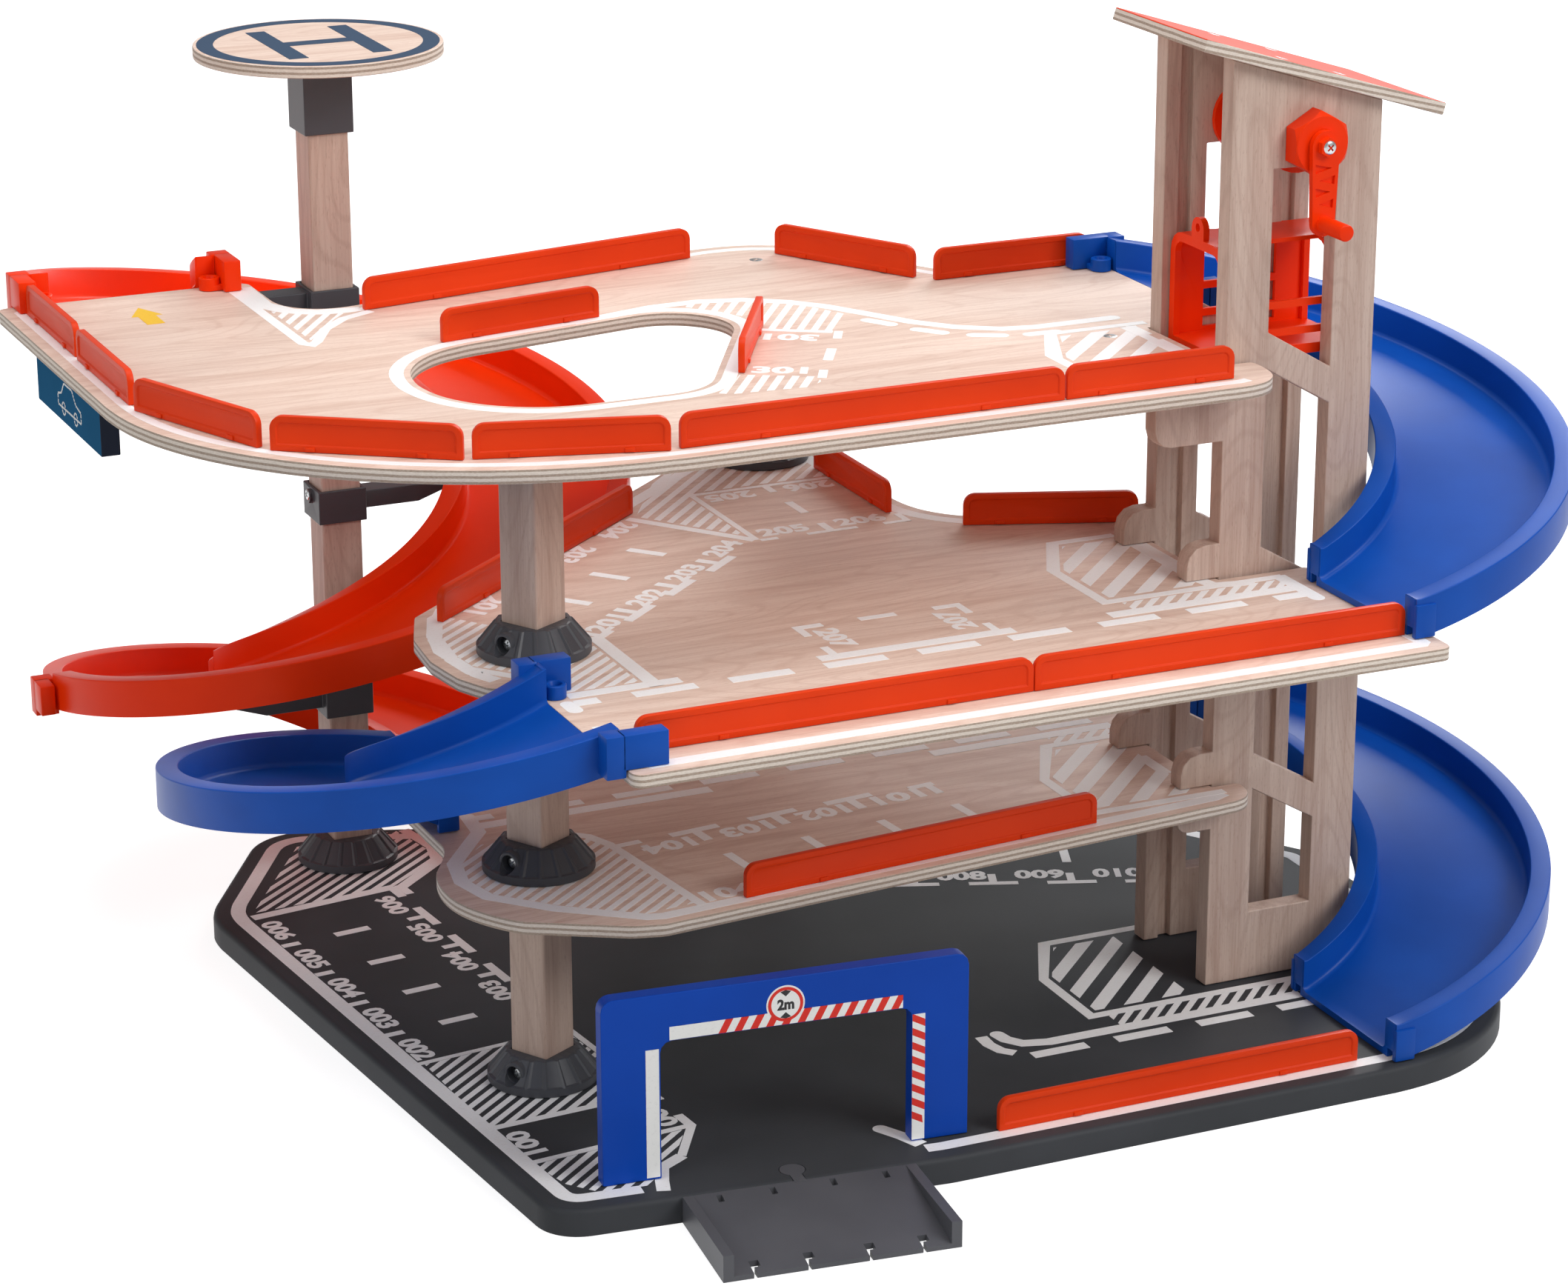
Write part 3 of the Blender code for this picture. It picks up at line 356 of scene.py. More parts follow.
def easedBox(bm, x0, x1, y0, y1, z0, z1, width=0.0005):
    made = bmesh.ops.create_cube(bm, size=1.0)
    size = Matrix.Diagonal((x1 - x0, y1 - y0, z1 - z0, 1.0))
    middle = Matrix.Translation(((x0 + x1) / 2, (y0 + y1) / 2, (z0 + z1) / 2))
    bmesh.ops.transform(bm, matrix=middle @ size, verts=made["verts"])
    edges = list({edge for vert in made["verts"] for edge in vert.link_edges})
    bmesh.ops.bevel(bm, geom=edges, offset=width, segments=2, profile=0.5, affect="EDGES", clamp_overlap=True)


def turned(bm, profile, x, y, count=32):
    rings = []
    for r, z in profile:
        if r == 0:
            rings.append([bm.verts.new((x, y, z))])
        else:
            rings.append([bm.verts.new((x + r * math.cos(math.tau * k / count), y + r * math.sin(math.tau * k / count), z)) for k in range(count)])
    for low, high in zip(rings, rings[1:]):
        for k in range(count):
            a = low[k % len(low)], low[(k + 1) % len(low)], high[(k + 1) % len(high)], high[k % len(high)]
            bm.faces.new(tuple(dict.fromkeys(a)))


def slide(node, look, x, y, level, turn, sweep, lead, reach, ears, shelf):
    s = slideShape
    inner, outer = s["radius"] - s["halfWidth"], s["radius"] + s["halfWidth"]
    wall, skin, rim, low, soft, e = s["wall"], s["skin"], s["rim"], -s["floor"], s["fillet"], s["edge"]
    drop = s["level"] - s["floor"] - s["gap"]
    profile = [(outer, low)] + arc(outer - e, rim - e, e, 0, 90, 4) + arc(outer - wall + e, rim - e, e, 90, 180, 4)
    profile += arc(outer - wall - soft, soft, soft, 0, -90, 5)
    profile += arc(inner + wall + soft, soft, soft, 270, 180, 5)
    profile += arc(inner + wall - e, rim - e, e, 0, 90, 4) + arc(inner + e, rim - e, e, 90, 180, 4) + [(inner, low)]
    profile += [(inner + skin, low), (inner + skin, rim - skin), (inner + wall - skin, rim - skin), (inner + wall - skin, low)]
    profile += [(outer - wall + skin, low), (outer - wall + skin, rim - skin), (outer - skin, rim - skin), (outer - skin, low)]
    bm = bmesh.new()
    rings = []
    count = s["steps"]
    for i in range(count + 1):
        turnBy = -sweep * i / count
        fall = -drop * i / count
        rings.append([bm.verts.new((r * math.cos(turnBy), r * math.sin(turnBy), z + fall)) for r, z in profile])
    if lead > 0:
        rings.append([bm.verts.new(v.co + Vector((0, lead, 0))) for v in rings[-1]])
    for a, b in zip(rings, rings[1:]):
        for k in range(len(profile)):
            n = (k + 1) % len(profile)
            bm.faces.new((a[k], a[n], b[n], b[k]))
    bm.faces.new(rings[0])
    bm.faces.new(list(reversed(rings[-1])))
    for out, baseR in ((1, outer), (-1, inner)):
        far = baseR + out * s["clipStep"]
        near = baseR + out * (s["gap"] if ears else s["innerGap"])
        root = baseR - out * 0.0012
        easedBox(bm, min(root, far), max(root, far), -s["clipBack"], -0.0005, low, rim)
        length = reach if out > 0 else min(reach, 0.0150)
        easedBox(bm, min(near, far), max(near, far), -0.0020, length, s["gap"], rim)
        if ears:
            earX, earY = baseR - out * 0.0045, 0.0055
            g, h, d = s["gap"], s["earHeight"], s["dishRadius"]
            wallEnd = baseR - out * s["wall"]
            easedBox(bm, min(root, wallEnd + out * 0.0006), max(root, wallEnd + out * 0.0006), -0.0016, 0.0003, g, rim - 0.0003, 0.0002)
            turned(bm, [(0, g), (s["earRadius"], g), (s["earRadius"], h - 0.0004), (s["earRadius"] - 0.0004, h), (d, h), (d - 0.0003, h - 0.0003), (d * 0.75, 0.0042), (0, 0.0033)], earX, earY)
            easedBox(bm, min(earX, near + out * 0.002), max(earX, near + out * 0.002), earY - s["earRadius"], earY + s["earRadius"], g, 0.0030, 0.0002)
    if shelf:
        for out, baseR in ((1, outer), (-1, inner)):
            far = baseR + out * s["endStep"]
            root = baseR - out * 0.0012
            foot = -drop + low + 0.0004
            tip = lead + 0.0006
            easedBox(bm, min(-root, -far), max(-root, -far), tip - s["endBlock"], tip, foot, foot + rim)
            wallEnd = baseR - out * (s["wall"] - 0.0006)
            easedBox(bm, min(-root, -wallEnd), max(-root, -wallEnd), tip - 0.0019, tip - 0.0003, foot + s["endNotch"], rim - drop - 0.0003, 0.0002)
    bmesh.ops.recalc_face_normals(bm, faces=bm.faces)
    ox, oy = plan["x"], plan["y"]
    toPlace = Matrix.Translation((x + ox, y + oy, level * s["level"] + plan["z"])) @ Matrix.Rotation(turn, 4, "Z")
    bmesh.ops.transform(bm, matrix=toPlace, verts=bm.verts)
    mesh = bpy.data.meshes.new("look_" + node)
    bm.to_mesh(mesh)
    bm.free()
    piece = settle("look_" + node, mesh, [look], smooth=32)
    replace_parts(piece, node)


half = math.pi / 2
slide("slide_blue_upper", "blue", 0.3538, 0.0, 3, half, math.pi, 0.0018, 0.018, True, True)
slide("slide_blue_lower", "blue", 0.3538, 0.0, 1, half, math.pi, 0.0018, 0.018, True, True)
slide("slide_blue_left", "blue", -0.0193, 0.0, 2, -half, math.pi, 0.0018, 0.018, True, True)
slide("slide_red_1", "red", 0.00636, 0.2888, 3, math.pi, math.pi - 0.007, 0.0, 0.0150, True, False)
slide("slide_red_2", "red", 0.00636, 0.2888, 2, 0.0, math.pi - 0.007, 0.0, 0.0100, False, False)
slide("slide_red_3", "red", 0.00636, 0.2888, 1, math.pi, math.pi, 0.0270, 0.0100, False, True)
print("scene: slides swept")


# Feet and heads: a low cone with ribs, a square socket for the post and a screw boss
footShape = {
    "radius": 0.02486, "band": 0.0038, "height": 0.0140, "top": 0.0165, "ribs": 18, "deep": 0.0011, "socket": 0.0103,
    "floor": 0.0030, "bossRadius": 0.0054, "bossReach": 0.0205, "bossHigh": 0.0076, "pit": 0.0038, "pitDeep": 0.0036,
}


def squareReach(t, half):
    return half / max(abs(math.cos(t)), abs(math.sin(t)))


def foot(node, x, y, z, turn, bossTurn, upsideDown=False):
    s = footShape
    count = s["ribs"] * 8
    ribbed = []
    for k in range(count):
        step = k % 8
        ribbed.append(0.0 if step in (0, 1) else s["deep"])
    rings = (
        lambda k, t: (s["radius"] - 0.0004, 0.0),
        lambda k, t: (s["radius"], 0.0004),
        lambda k, t: (s["radius"], s["band"]),
        lambda k, t: (s["radius"] - 0.0004 - ribbed[k] * 0.8, s["band"] + 0.0005),
        lambda k, t: (s["top"] + 0.0005 - ribbed[k] * 0.8, s["height"] - 0.0004),
        lambda k, t: (s["top"] - 0.0012, s["height"]),
        lambda k, t: (squareReach(t, s["socket"]), s["height"]),
        lambda k, t: (squareReach(t, s["socket"]), s["floor"]),
    )
    bm = bmesh.new()
    made = []
    for ring in rings:
        row = []
        for k in range(count):
            t = math.tau * k / count
            r, h = ring(k, t)
            row.append(bm.verts.new((r * math.cos(t), r * math.sin(t), h)))
        made.append(row)
    for low, high in zip(made, made[1:]):
        for k in range(count):
            bm.faces.new((low[k - 1], low[k], high[k], high[k - 1]))
    bm.faces.new(list(reversed(made[0])))
    bm.faces.new(made[-1])
    bmesh.ops.recalc_face_normals(bm, faces=bm.faces)
    body = bpy.data.meshes.new("cone")
    bm.to_mesh(body)
    bm.clear()
    cone = bpy.data.objects.new("cone", body)
    bpy.context.collection.objects.link(cone)
    r, e = s["bossRadius"], 0.0005
    back, front = 0.0118, s["bossReach"]
    boss = bmesh.new()
    turned(boss, [(0, back), (r, back), (r, front - e), (r - e, front), (s["pit"] + e / 2, front), (s["pit"], front - e), (s["pit"], front - s["pitDeep"]), (0, front - s["pitDeep"])], 0, 0, 32)
    aim = Matrix.Rotation(-bossTurn if upsideDown else bossTurn, 4, "Z") @ Matrix.Translation((0, 0, s["bossHigh"])) @ Matrix.Rotation(math.pi / 2, 4, "Y")
    bmesh.ops.transform(boss, matrix=aim, verts=boss.verts)
    hollow = bmesh.new()
    turned(hollow, [(0, front - s["pitDeep"]), (s["pit"], front - s["pitDeep"]), (s["pit"] + 0.0006, 0.03), (0, 0.03)], 0, 0, 32)
    bmesh.ops.transform(hollow, matrix=aim, verts=hollow.verts)
    bmesh.ops.recalc_face_normals(hollow, faces=hollow.faces)
    cutBy(cone, hollow)
    bm.from_mesh(cone.data)
    bpy.data.objects.remove(cone)
    part = bpy.data.meshes.new("boss")
    boss.to_mesh(part)
    boss.free()
    bm.from_mesh(part)
    bpy.data.meshes.remove(part)
    bmesh.ops.recalc_face_normals(bm, faces=bm.faces)
    place = Matrix.Translation(spot(x, y) + Vector((0, 0, z))) @ Matrix.Rotation(math.radians(turn), 4, "Z")
    if upsideDown:
        place = place @ Matrix.Rotation(math.pi, 4, "X")
    bmesh.ops.transform(bm, matrix=place, verts=bm.verts)
    mesh = bpy.data.meshes.new("look_" + node)
    bm.to_mesh(mesh)
    bm.free()
    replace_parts(settle("look_" + node, mesh, ["black"], smooth=22), node)


gap, underDeck = slideShape["gap"], 0.006
for level in (0, 1, 2):
    foot("foot_b_" + str(level), 0.0, 0.0, level * plan["unit"] + gap, 29.6, math.pi)
    foot("head_b_" + str(level + 1), 0.0, 0.0, (level + 1) * plan["unit"] - underDeck - gap, 29.6, math.pi, True)
for low, high in ((0, 2), (2, 3)):
    foot("foot_c_" + str(low), 2.065, 2.285, low * plan["unit"] + gap, 0.0, math.pi)
    foot("head_c_" + str(high), 2.065, 2.285, high * plan["unit"] - underDeck - gap, 0.0, math.pi, True)
foot("foot_a_0", 0.0636, 2.8678, gap, 0.0, half)
print("scene: feet and heads built")


# Railings: a flat bar with a sunk panel on each face and two small bumps at its foot
railShape = {
    "short": 0.0825, "long": 0.1795, "height": 0.0150, "thick": 0.0030, "corner": 0.0055, "rim": 0.0026,
    "step": 0.0005, "panel": 0.0008, "ease": 0.0002, "clipShort": 0.0480, "clipLong": 0.1030, "bump": 0.0042,
    "bumpHigh": 0.0022, "bumpReach": 0.0008,
}
railRuns = {
    "rail_3_left_a": (3, -0.1445, 0.2720, -0.1445, 0.1895),
    "rail_3_left_b": (3, -0.1450, 0.1845, -0.1450, 0.1020),
    "rail_3_left_c": (3, -0.1455, 0.0938, -0.1145, 0.0157),
    "rail_3_left_d": (3, -0.1110, 0.0110, -0.0431, -0.0364),
    "rail_3_front_a": (3, -0.0388, -0.0365, 0.0402, -0.0586),
    "rail_3_front_b": (3, 0.0452, -0.0577, 0.2250, -0.0577),
    "rail_3_front_c": (3, 0.2261, -0.0577, 0.3084, -0.0577),
    "rail_3_back_a": (3, 0.1770, 0.2475, 0.00095, 0.2176),
    "rail_3_hole_a": (3, 0.01405, 0.1443, 0.0952, 0.1577),
    "rail_3_hole_b": (3, 0.1554, 0.1133, 0.1145, 0.0416),
    "rail_3_back_b": (3, 0.2618, 0.1655, 0.2216, 0.2373),
    "rail_3_back_c": (3, 0.3495, 0.1582, 0.2670, 0.1582),
    "rail_2_diagonal": (2, 0.1129, 0.1695, -0.0250, 0.05375),
    "rail_2_stall": (2, 0.2265, 0.1175, 0.2265, 0.2000),
    "rail_2_back": (2, 0.3262, 0.0583, 0.2490, 0.0875),
    "rail_2_front_a": (2, -0.00875, -0.1363, 0.1712, -0.1363),
    "rail_2_front_b": (2, 0.1716, -0.1366, 0.3508, -0.1380),
    "rail_1_front": (1, 0.0690, -0.0714, 0.2454, -0.0552),
    "rail_0_front": (0, 0.1580, -0.1360, 0.3380, -0.1360),
}


def railing(node, level, x0, y0, x1, y1):
    s = railShape
    run = math.hypot(x1 - x0, y1 - y0)
    isLong = run > (s["short"] + s["long"]) / 2
    half = (s["long"] if isLong else s["short"]) / 2
    c, h = s["corner"], s["height"]
    outline = [(-half, 0.0), (half, 0.0)] + arc(half - c, h - c, c, 0, 90, 6) + arc(c - half, h - c, c, 90, 180, 6)
    bm = bmesh.new()
    front = [bm.verts.new((x, 0.0, z)) for x, z in outline]
    back = [bm.verts.new((x, s["thick"], z)) for x, z in outline]
    panels = ((bm.faces.new(front), s["panel"]), (bm.faces.new(list(reversed(back))), -s["panel"]))
    for k in range(len(outline)):
        bm.faces.new((front[k - 1], back[k - 1], back[k], front[k]))
    bmesh.ops.recalc_face_normals(bm, faces=bm.faces)
    for panel, inward in panels:
        for width in (s["rim"], s["step"]):
            bmesh.ops.inset_region(bm, faces=[panel], thickness=width, use_even_offset=True)
        bmesh.ops.translate(bm, verts=list(panel.verts), vec=(0, inward, 0))
    sharp = [edge for edge in bm.edges if edge.calc_face_angle(0.0) > math.radians(28)]
    bmesh.ops.bevel(bm, geom=sharp, offset=s["ease"], segments=2, profile=0.5, affect="EDGES", clamp_overlap=True)
    for side in (-1, 1):
        at = side * (s["clipLong"] if isLong else s["clipShort"]) / 2
        easedBox(bm, at - s["bump"] / 2, at + s["bump"] / 2, -s["bumpReach"], s["thick"] + s["bumpReach"], 0.0003, s["bumpHigh"], 0.0003)
    unit = plan["unit"]
    middle = spot((x0 + x1) / 2 / unit, (y0 + y1) / 2 / unit, level) + Vector((0, 0, slideShape["gap"]))
    turn = Matrix.Rotation(math.atan2(y1 - y0, x1 - x0), 4, "Z")
    bmesh.ops.transform(bm, matrix=Matrix.Translation(middle) @ turn, verts=bm.verts)
    mesh = bpy.data.meshes.new("look_" + node)
    bm.to_mesh(mesh)
    bm.free()
    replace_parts(settle("look_" + node, mesh, ["redEnamel"], smooth=32), node)


for node, run in railRuns.items():
    railing(node, *run)
print("scene: railings built,", len(railRuns))


# Printing: flat shapes raised to a thin closed film
film = {"under": 0.00004, "over": 0.00007, "step": 0.0000012}


class inkSheet:
    def __init__(self, level=None, place=None):
        self.place = Matrix.Translation(spot(0, 0, level)) if place is None else place
        self.shapes = []
        self.bars = []

    def area(self, points):
        self.shapes.append([Vector(p) for p in points])

    def bar(self, x, y, length, width, turn=0.0):
        self.bars.append((x, y, length, width, math.radians(turn)))

    def block(self, x0, y0, x1, y1):
        self.bar((x0 + x1) / 2, (y0 + y1) / 2, abs(x1 - x0), abs(y1 - y0))

    def line(self, x0, y0, x1, y1, width):
        self.bar((x0 + x1) / 2, (y0 + y1) / 2, math.hypot(x1 - x0, y1 - y0), width, math.degrees(math.atan2(y1 - y0, x1 - x0)))

    def band(self, points, width, rounds=(False, False)):
        path = [Vector(p) for p in points]
        left, right = [], []
        for i, p in enumerate(path):
            before = (p - path[i - 1]).normalized() if i else (path[1] - p).normalized()
            after = (path[i + 1] - p).normalized() if i + 1 < len(path) else before
            side = Vector((-(before + after).y, (before + after).x)).normalized()
            reach = width / 2 / max(0.5, side.dot(Vector((-before.y, before.x))))
            left.append(p + side * reach)
            right.append(p - side * reach)
        for i in range(len(path) - 1):
            self.shapes.append([left[i], right[i], right[i + 1], left[i + 1]])
        for end, wanted in zip((path[0], path[-1]), rounds):
            if wanted:
                self.disc(end.x, end.y, width / 2)

    def disc(self, x, y, r, count=28):
        self.area([(x + r * math.cos(math.tau * k / count), y + r * math.sin(math.tau * k / count)) for k in range(count)])

    def hatch(self, polygon, angle, pitch, width, shift=0.0):
        turn = math.radians(angle)
        across = Vector((-math.sin(turn), math.cos(turn)))
        shape = [Vector(p) for p in polygon]
        parts = [[shape[i] for i in tri] for tri in tessellate_polygon([[p.to_3d() for p in shape]])]
        reach = [p.dot(across) for p in shape]
        k = math.floor(min(reach) / pitch)
        while k * pitch < max(reach):
            low = k * pitch + shift
            for corner in parts:
                piece = clip(clip(corner, across, low), -across, -(low + width))
                if len(piece) > 2 and abs(areaOf(piece)) > 0.00002:
                    self.shapes.append(piece)
            k += 1

    def words(self, text, x, y, height, turn=0.0, length=None):
        faces, wide = digits(text)
        across = (length / wide) if length else height
        t = math.radians(turn)
        for face in faces:
            self.shapes.append([Vector((x + px * across * math.cos(t) - py * height * math.sin(t), y + px * across * math.sin(t) + py * height * math.cos(t))) for px, py in face])

    def make(self, name, key, body="garage", lift=0.0):
        unit = plan["unit"]
        bm = bmesh.new()
        for i, shape in enumerate(self.shapes):
            clean = [p for j, p in enumerate(shape) if (p - shape[j - 1]).length > 0.0004]
            if len(clean) == 4:
                middle = sum(clean, Vector((0.0, 0.0))) / 4
                clean.sort(key=lambda p: math.atan2(p.y - middle.y, p.x - middle.x))
            if len(clean) < 3 or abs(areaOf(clean)) < 0.000001:
                continue
            if areaOf(clean) < 0:
                clean.reverse()
            over = film["over"] + lift + film["step"] * (i % 61)
            top = [bm.verts.new((p.x * unit, p.y * unit, over)) for p in clean]
            low = [bm.verts.new((p.x * unit, p.y * unit, -film["under"])) for p in clean]
            bm.faces.new(top)
            bm.faces.new(list(reversed(low)))
            for j in range(len(clean)):
                bm.faces.new((top[j - 1], low[j - 1], low[j], top[j]))
        bmesh.ops.triangulate(bm, faces=[f for f in bm.faces if len(f.verts) > 4])
        mesh = bpy.data.meshes.new(name)
        bm.to_mesh(mesh)
        bm.free()
        if self.bars:
            joinMesh(mesh, barMesh(name, self.bars, lift, key))
        mesh.transform(self.place)
        return settle(name, mesh, [key], body, smooth=0)


def clip(shape, across, limit):
    kept = []
    for i, p in enumerate(shape):
        q = shape[i - 1]
        a, b = q.dot(across) - limit, p.dot(across) - limit
        if (a < 0) != (b < 0):
            kept.append(q + (p - q) * (a / (a - b)))
        if b >= 0:
            kept.append(p)
    return kept


def areaOf(shape):
    return sum(shape[i - 1].x * p.y - p.x * shape[i - 1].y for i, p in enumerate(shape)) / 2


digitShapes = {}


def digits(text):
    if text not in digitShapes:
        curve = bpy.data.curves.new("digits", "FONT")
        curve.body = text
        curve.offset = 0.042  # a bolder stroke
        curve.resolution_u = 3
        writing = bpy.data.objects.new("digits", curve)
        bpy.context.collection.objects.link(writing)
        bpy.context.view_layer.update()
        mesh = bpy.data.meshes.new_from_object(writing.evaluated_get(bpy.context.evaluated_depsgraph_get()))
        xs = [v.co.x for v in mesh.vertices]
        ys = [v.co.y for v in mesh.vertices]
        mx, my, tall = (min(xs) + max(xs)) / 2, (min(ys) + max(ys)) / 2, max(ys) - min(ys)
        faces = [[((mesh.vertices[i].co.x - mx) / tall, (mesh.vertices[i].co.y - my) / tall) for i in f.vertices] for f in mesh.polygons]
        digitShapes[text] = faces, (max(xs) - min(xs)) / tall
        bpy.data.objects.remove(writing)
        bpy.data.meshes.remove(mesh)
    return digitShapes[text]


def joinMesh(mesh, other):
    bm = bmesh.new()
    bm.from_mesh(mesh)
    bm.from_mesh(other)
    bm.to_mesh(mesh)
    bm.free()


def inputId(tree, name):
    return next(item.identifier for item in tree.interface.items_tree if item.name == name)


# Geometry Nodes: one straight bar of ink on each point, from its own length, width and turn
def barTree():
    tree = bpy.data.node_groups.new("ink bars", "GeometryNodeTree")
    tree.interface.new_socket("Geometry", in_out="INPUT", socket_type="NodeSocketGeometry")
    tree.interface.new_socket("Thickness factor", in_out="INPUT", socket_type="NodeSocketFloat")
    tree.interface.new_socket("Ink", in_out="INPUT", socket_type="NodeSocketMaterial")
    tree.interface.new_socket("Geometry", in_out="OUTPUT", socket_type="NodeSocketGeometry")
    start = addNode(tree, "NodeGroupInput")
    size = addNode(tree, "GeometryNodeInputNamedAttribute", {"data_type": "FLOAT_VECTOR"}, {"Name": "size"})
    turn = addNode(tree, "GeometryNodeInputNamedAttribute", {"data_type": "FLOAT_VECTOR"}, {"Name": "turn"})
    cube = addNode(tree, "GeometryNodeMeshCube")
    depth = addNode(tree, "ShaderNodeCombineXYZ", values={"X": 1.0, "Y": 1.0}, links={"Z": start.outputs["Thickness factor"]})
    scale = addNode(tree, "ShaderNodeVectorMath", {"operation": "MULTIPLY"}, links={0: size.outputs[0], 1: depth.outputs[0]})
    lay = addNode(tree, "GeometryNodeInstanceOnPoints", links={
        "Points": start.outputs["Geometry"], "Instance": cube.outputs["Mesh"], "Rotation": turn.outputs[0], "Scale": scale.outputs[0]})
    real = addNode(tree, "GeometryNodeRealizeInstances", links={"Geometry": lay.outputs["Instances"]})
    paint = addNode(tree, "GeometryNodeSetMaterial", links={"Geometry": real.outputs["Geometry"], "Material": start.outputs["Ink"]})
    addNode(tree, "NodeGroupOutput", links={0: paint.outputs["Geometry"]})
    return tree


inkBars = barTree()


def pointPiece(name, points, attributes):
    mesh = bpy.data.meshes.new(name)
    mesh.from_pydata([tuple(p) for p in points], [], [])
    for key, rows in attributes.items():
        layer = mesh.attributes.new(key, "FLOAT_VECTOR", "POINT")
        layer.data.foreach_set("vector", [n for row in rows for n in row])
    piece = bpy.data.objects.new(name, mesh)
    bpy.context.collection.objects.link(piece)
    return piece


def grown(piece, tree, inputs):
    modifier = piece.modifiers.new("grow", "NODES")
    modifier.node_group = tree
    for key, value in inputs.items():
        modifier[inputId(tree, key)] = value
    bpy.context.view_layer.update()
    graph = bpy.context.evaluated_depsgraph_get()
    mesh = bpy.data.meshes.new_from_object(piece.evaluated_get(graph))
    piece.modifiers.clear()
    bpy.data.objects.remove(piece)
    return mesh


def barMesh(name, bars, lift, key):
    unit = plan["unit"]
    low = -film["under"]
    tops = [film["over"] + lift + film["step"] * (62 + i % 13) for i in range(len(bars))]
    points = [(bar[0] * unit, bar[1] * unit, (top + low) / 2) for bar, top in zip(bars, tops)]
    sizes = [(bar[2] * unit, bar[3] * unit, top - low) for bar, top in zip(bars, tops)]
    turns = [(0.0, 0.0, bar[4]) for bar in bars]
    piece = pointPiece(name + "_points", points, {"size": sizes, "turn": turns})
    return grown(piece, inkBars, {"Thickness factor": 1.0, "Ink": finish[key]})


# The rim of a board's top face (or of its underside), as loops of plan points
def rims(node, level, way=1.0):
    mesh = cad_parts[node].data.copy()
    bm = bmesh.new()
    bm.from_mesh(mesh)
    bmesh.ops.remove_doubles(bm, verts=bm.verts, dist=0.00002)
    z = spot(0, 0, level).z
    edges = []
    for edge in bm.edges:
        flats = [f.normal.z * way > 0.95 and abs(f.calc_center_median().z - z) < 0.0002 for f in edge.link_faces]
        if len(flats) == 2 and flats[0] != flats[1]:
            edges.append(edge)
    loops = []
    left = set(edges)
    while left:
        edge = left.pop()
        chain = [edge.verts[0], edge.verts[1]]
        while True:
            step = next((e for e in chain[-1].link_edges if e in left), None)
            if step is None:
                break
            left.discard(step)
            chain.append(step.other_vert(chain[-1]))
        if chain[0] is chain[-1]:
            chain.pop()
        unit = plan["unit"]
        loops.append([Vector(((v.co.x - plan["x"]) / unit, (v.co.y - plan["y"]) / unit)) for v in chain])
    bm.free()
    bpy.data.meshes.remove(mesh)
    loops.sort(key=lambda loop: -abs(areaOf(loop)))
    return [loop for loop in loops if abs(areaOf(loop)) > 0.05]


def inset(loop, distance):
    way = 1 if areaOf(loop) > 0 else -1
    dense = []
    for i, p in enumerate(loop):
        q = loop[i - 1]
        steps = max(1, int((p - q).length / 0.06))
        dense += [q + (p - q) * k / steps for k in range(steps)]
    moved = []
    for i, p in enumerate(dense):
        ahead = (dense[(i + 1) % len(dense)] - dense[i - 1]).normalized()
        moved.append(p + Vector((-ahead.y, ahead.x)) * way * distance)
    kept = []
    for p in moved:
        near = min(distanceTo(p, dense[i - 1], q) for i, q in enumerate(dense))
        if near > abs(distance) - 0.004:
            kept.append(p)
    return kept


def distanceTo(p, a, b):
    way = b - a
    t = max(0.0, min(1.0, (p - a).dot(way) / max(way.length_squared, 1e-12)))
    return (p - a - way * t).length


def border(sheet, loop, near, far, leave=None):
    path = inset(loop, (near + far) / 2)
    path.append(path[0])
    run = []
    for p in path:
        left = leave and leave(p.x, p.y)
        if left or (leave and run and leave((p.x + run[-1].x) / 2, (p.y + run[-1].y) / 2)):
            if len(run) > 1:
                sheet.band(run, abs(far - near))
            run = []
        if not left:
            run.append(p)
    if len(run) > 1:
        sheet.band(run, abs(far - near))


def liftZone(sheet, left, top, low, right, slant, cornerX, end=3.6):
    # the striped waiting zone in front of the lift
    sheet.area([(left, low), (left + 0.052, low), (left + 0.052, 0.04), (cornerX, top), (cornerX - 0.04, top + 0.05), (left, slant)])
    sheet.block(cornerX - 0.04, top, right, top + 0.05)
    sheet.block(left, low - 0.05, end, low)
    zone = [(left + 0.075, low + 0.028), (3.066, low + 0.028), (3.066, top - 0.032), (cornerX, top - 0.032), (left + 0.075, 0.05)]
    sheet.hatch(zone, 45, 0.1414, 0.0693)


# Parking rows: a label, a T between two bays and a dash, repeated along a row
def row(sheet, texts, x, y, stepX, stepY, turn, height, length):
    for i, text in enumerate(texts):
        sheet.words(text, x + stepX * i, y + stepY * i, height, turn, length)


def tees(sheet, spots, turn, bar, tick, side):
    t = math.radians(turn)
    for x, y in spots:
        sheet.bar(x, y, bar[0], bar[1], turn)
        reach = side * (bar[1] + tick[0]) / 2
        sheet.bar(x - math.sin(t) * reach, y + math.cos(t) * reach, tick[1], tick[0], turn)


# Deck 2's back edge runs straight from its left corner to the lobe round the rear post, as in the photo
backCorner = {"x": (1.70, 1.85), "above": 2.0, "meets": (1.863, 2.514)}


def backEdge(loop):
    low, high = backCorner["x"]
    drop = [low < p.x < high and p.y > backCorner["above"] for p in loop]
    kept = []
    for i, p in enumerate(loop):
        if not drop[i]:
            kept.append(p)
        elif not drop[i - 1]:
            kept.append(Vector(backCorner["meets"]))
    return kept


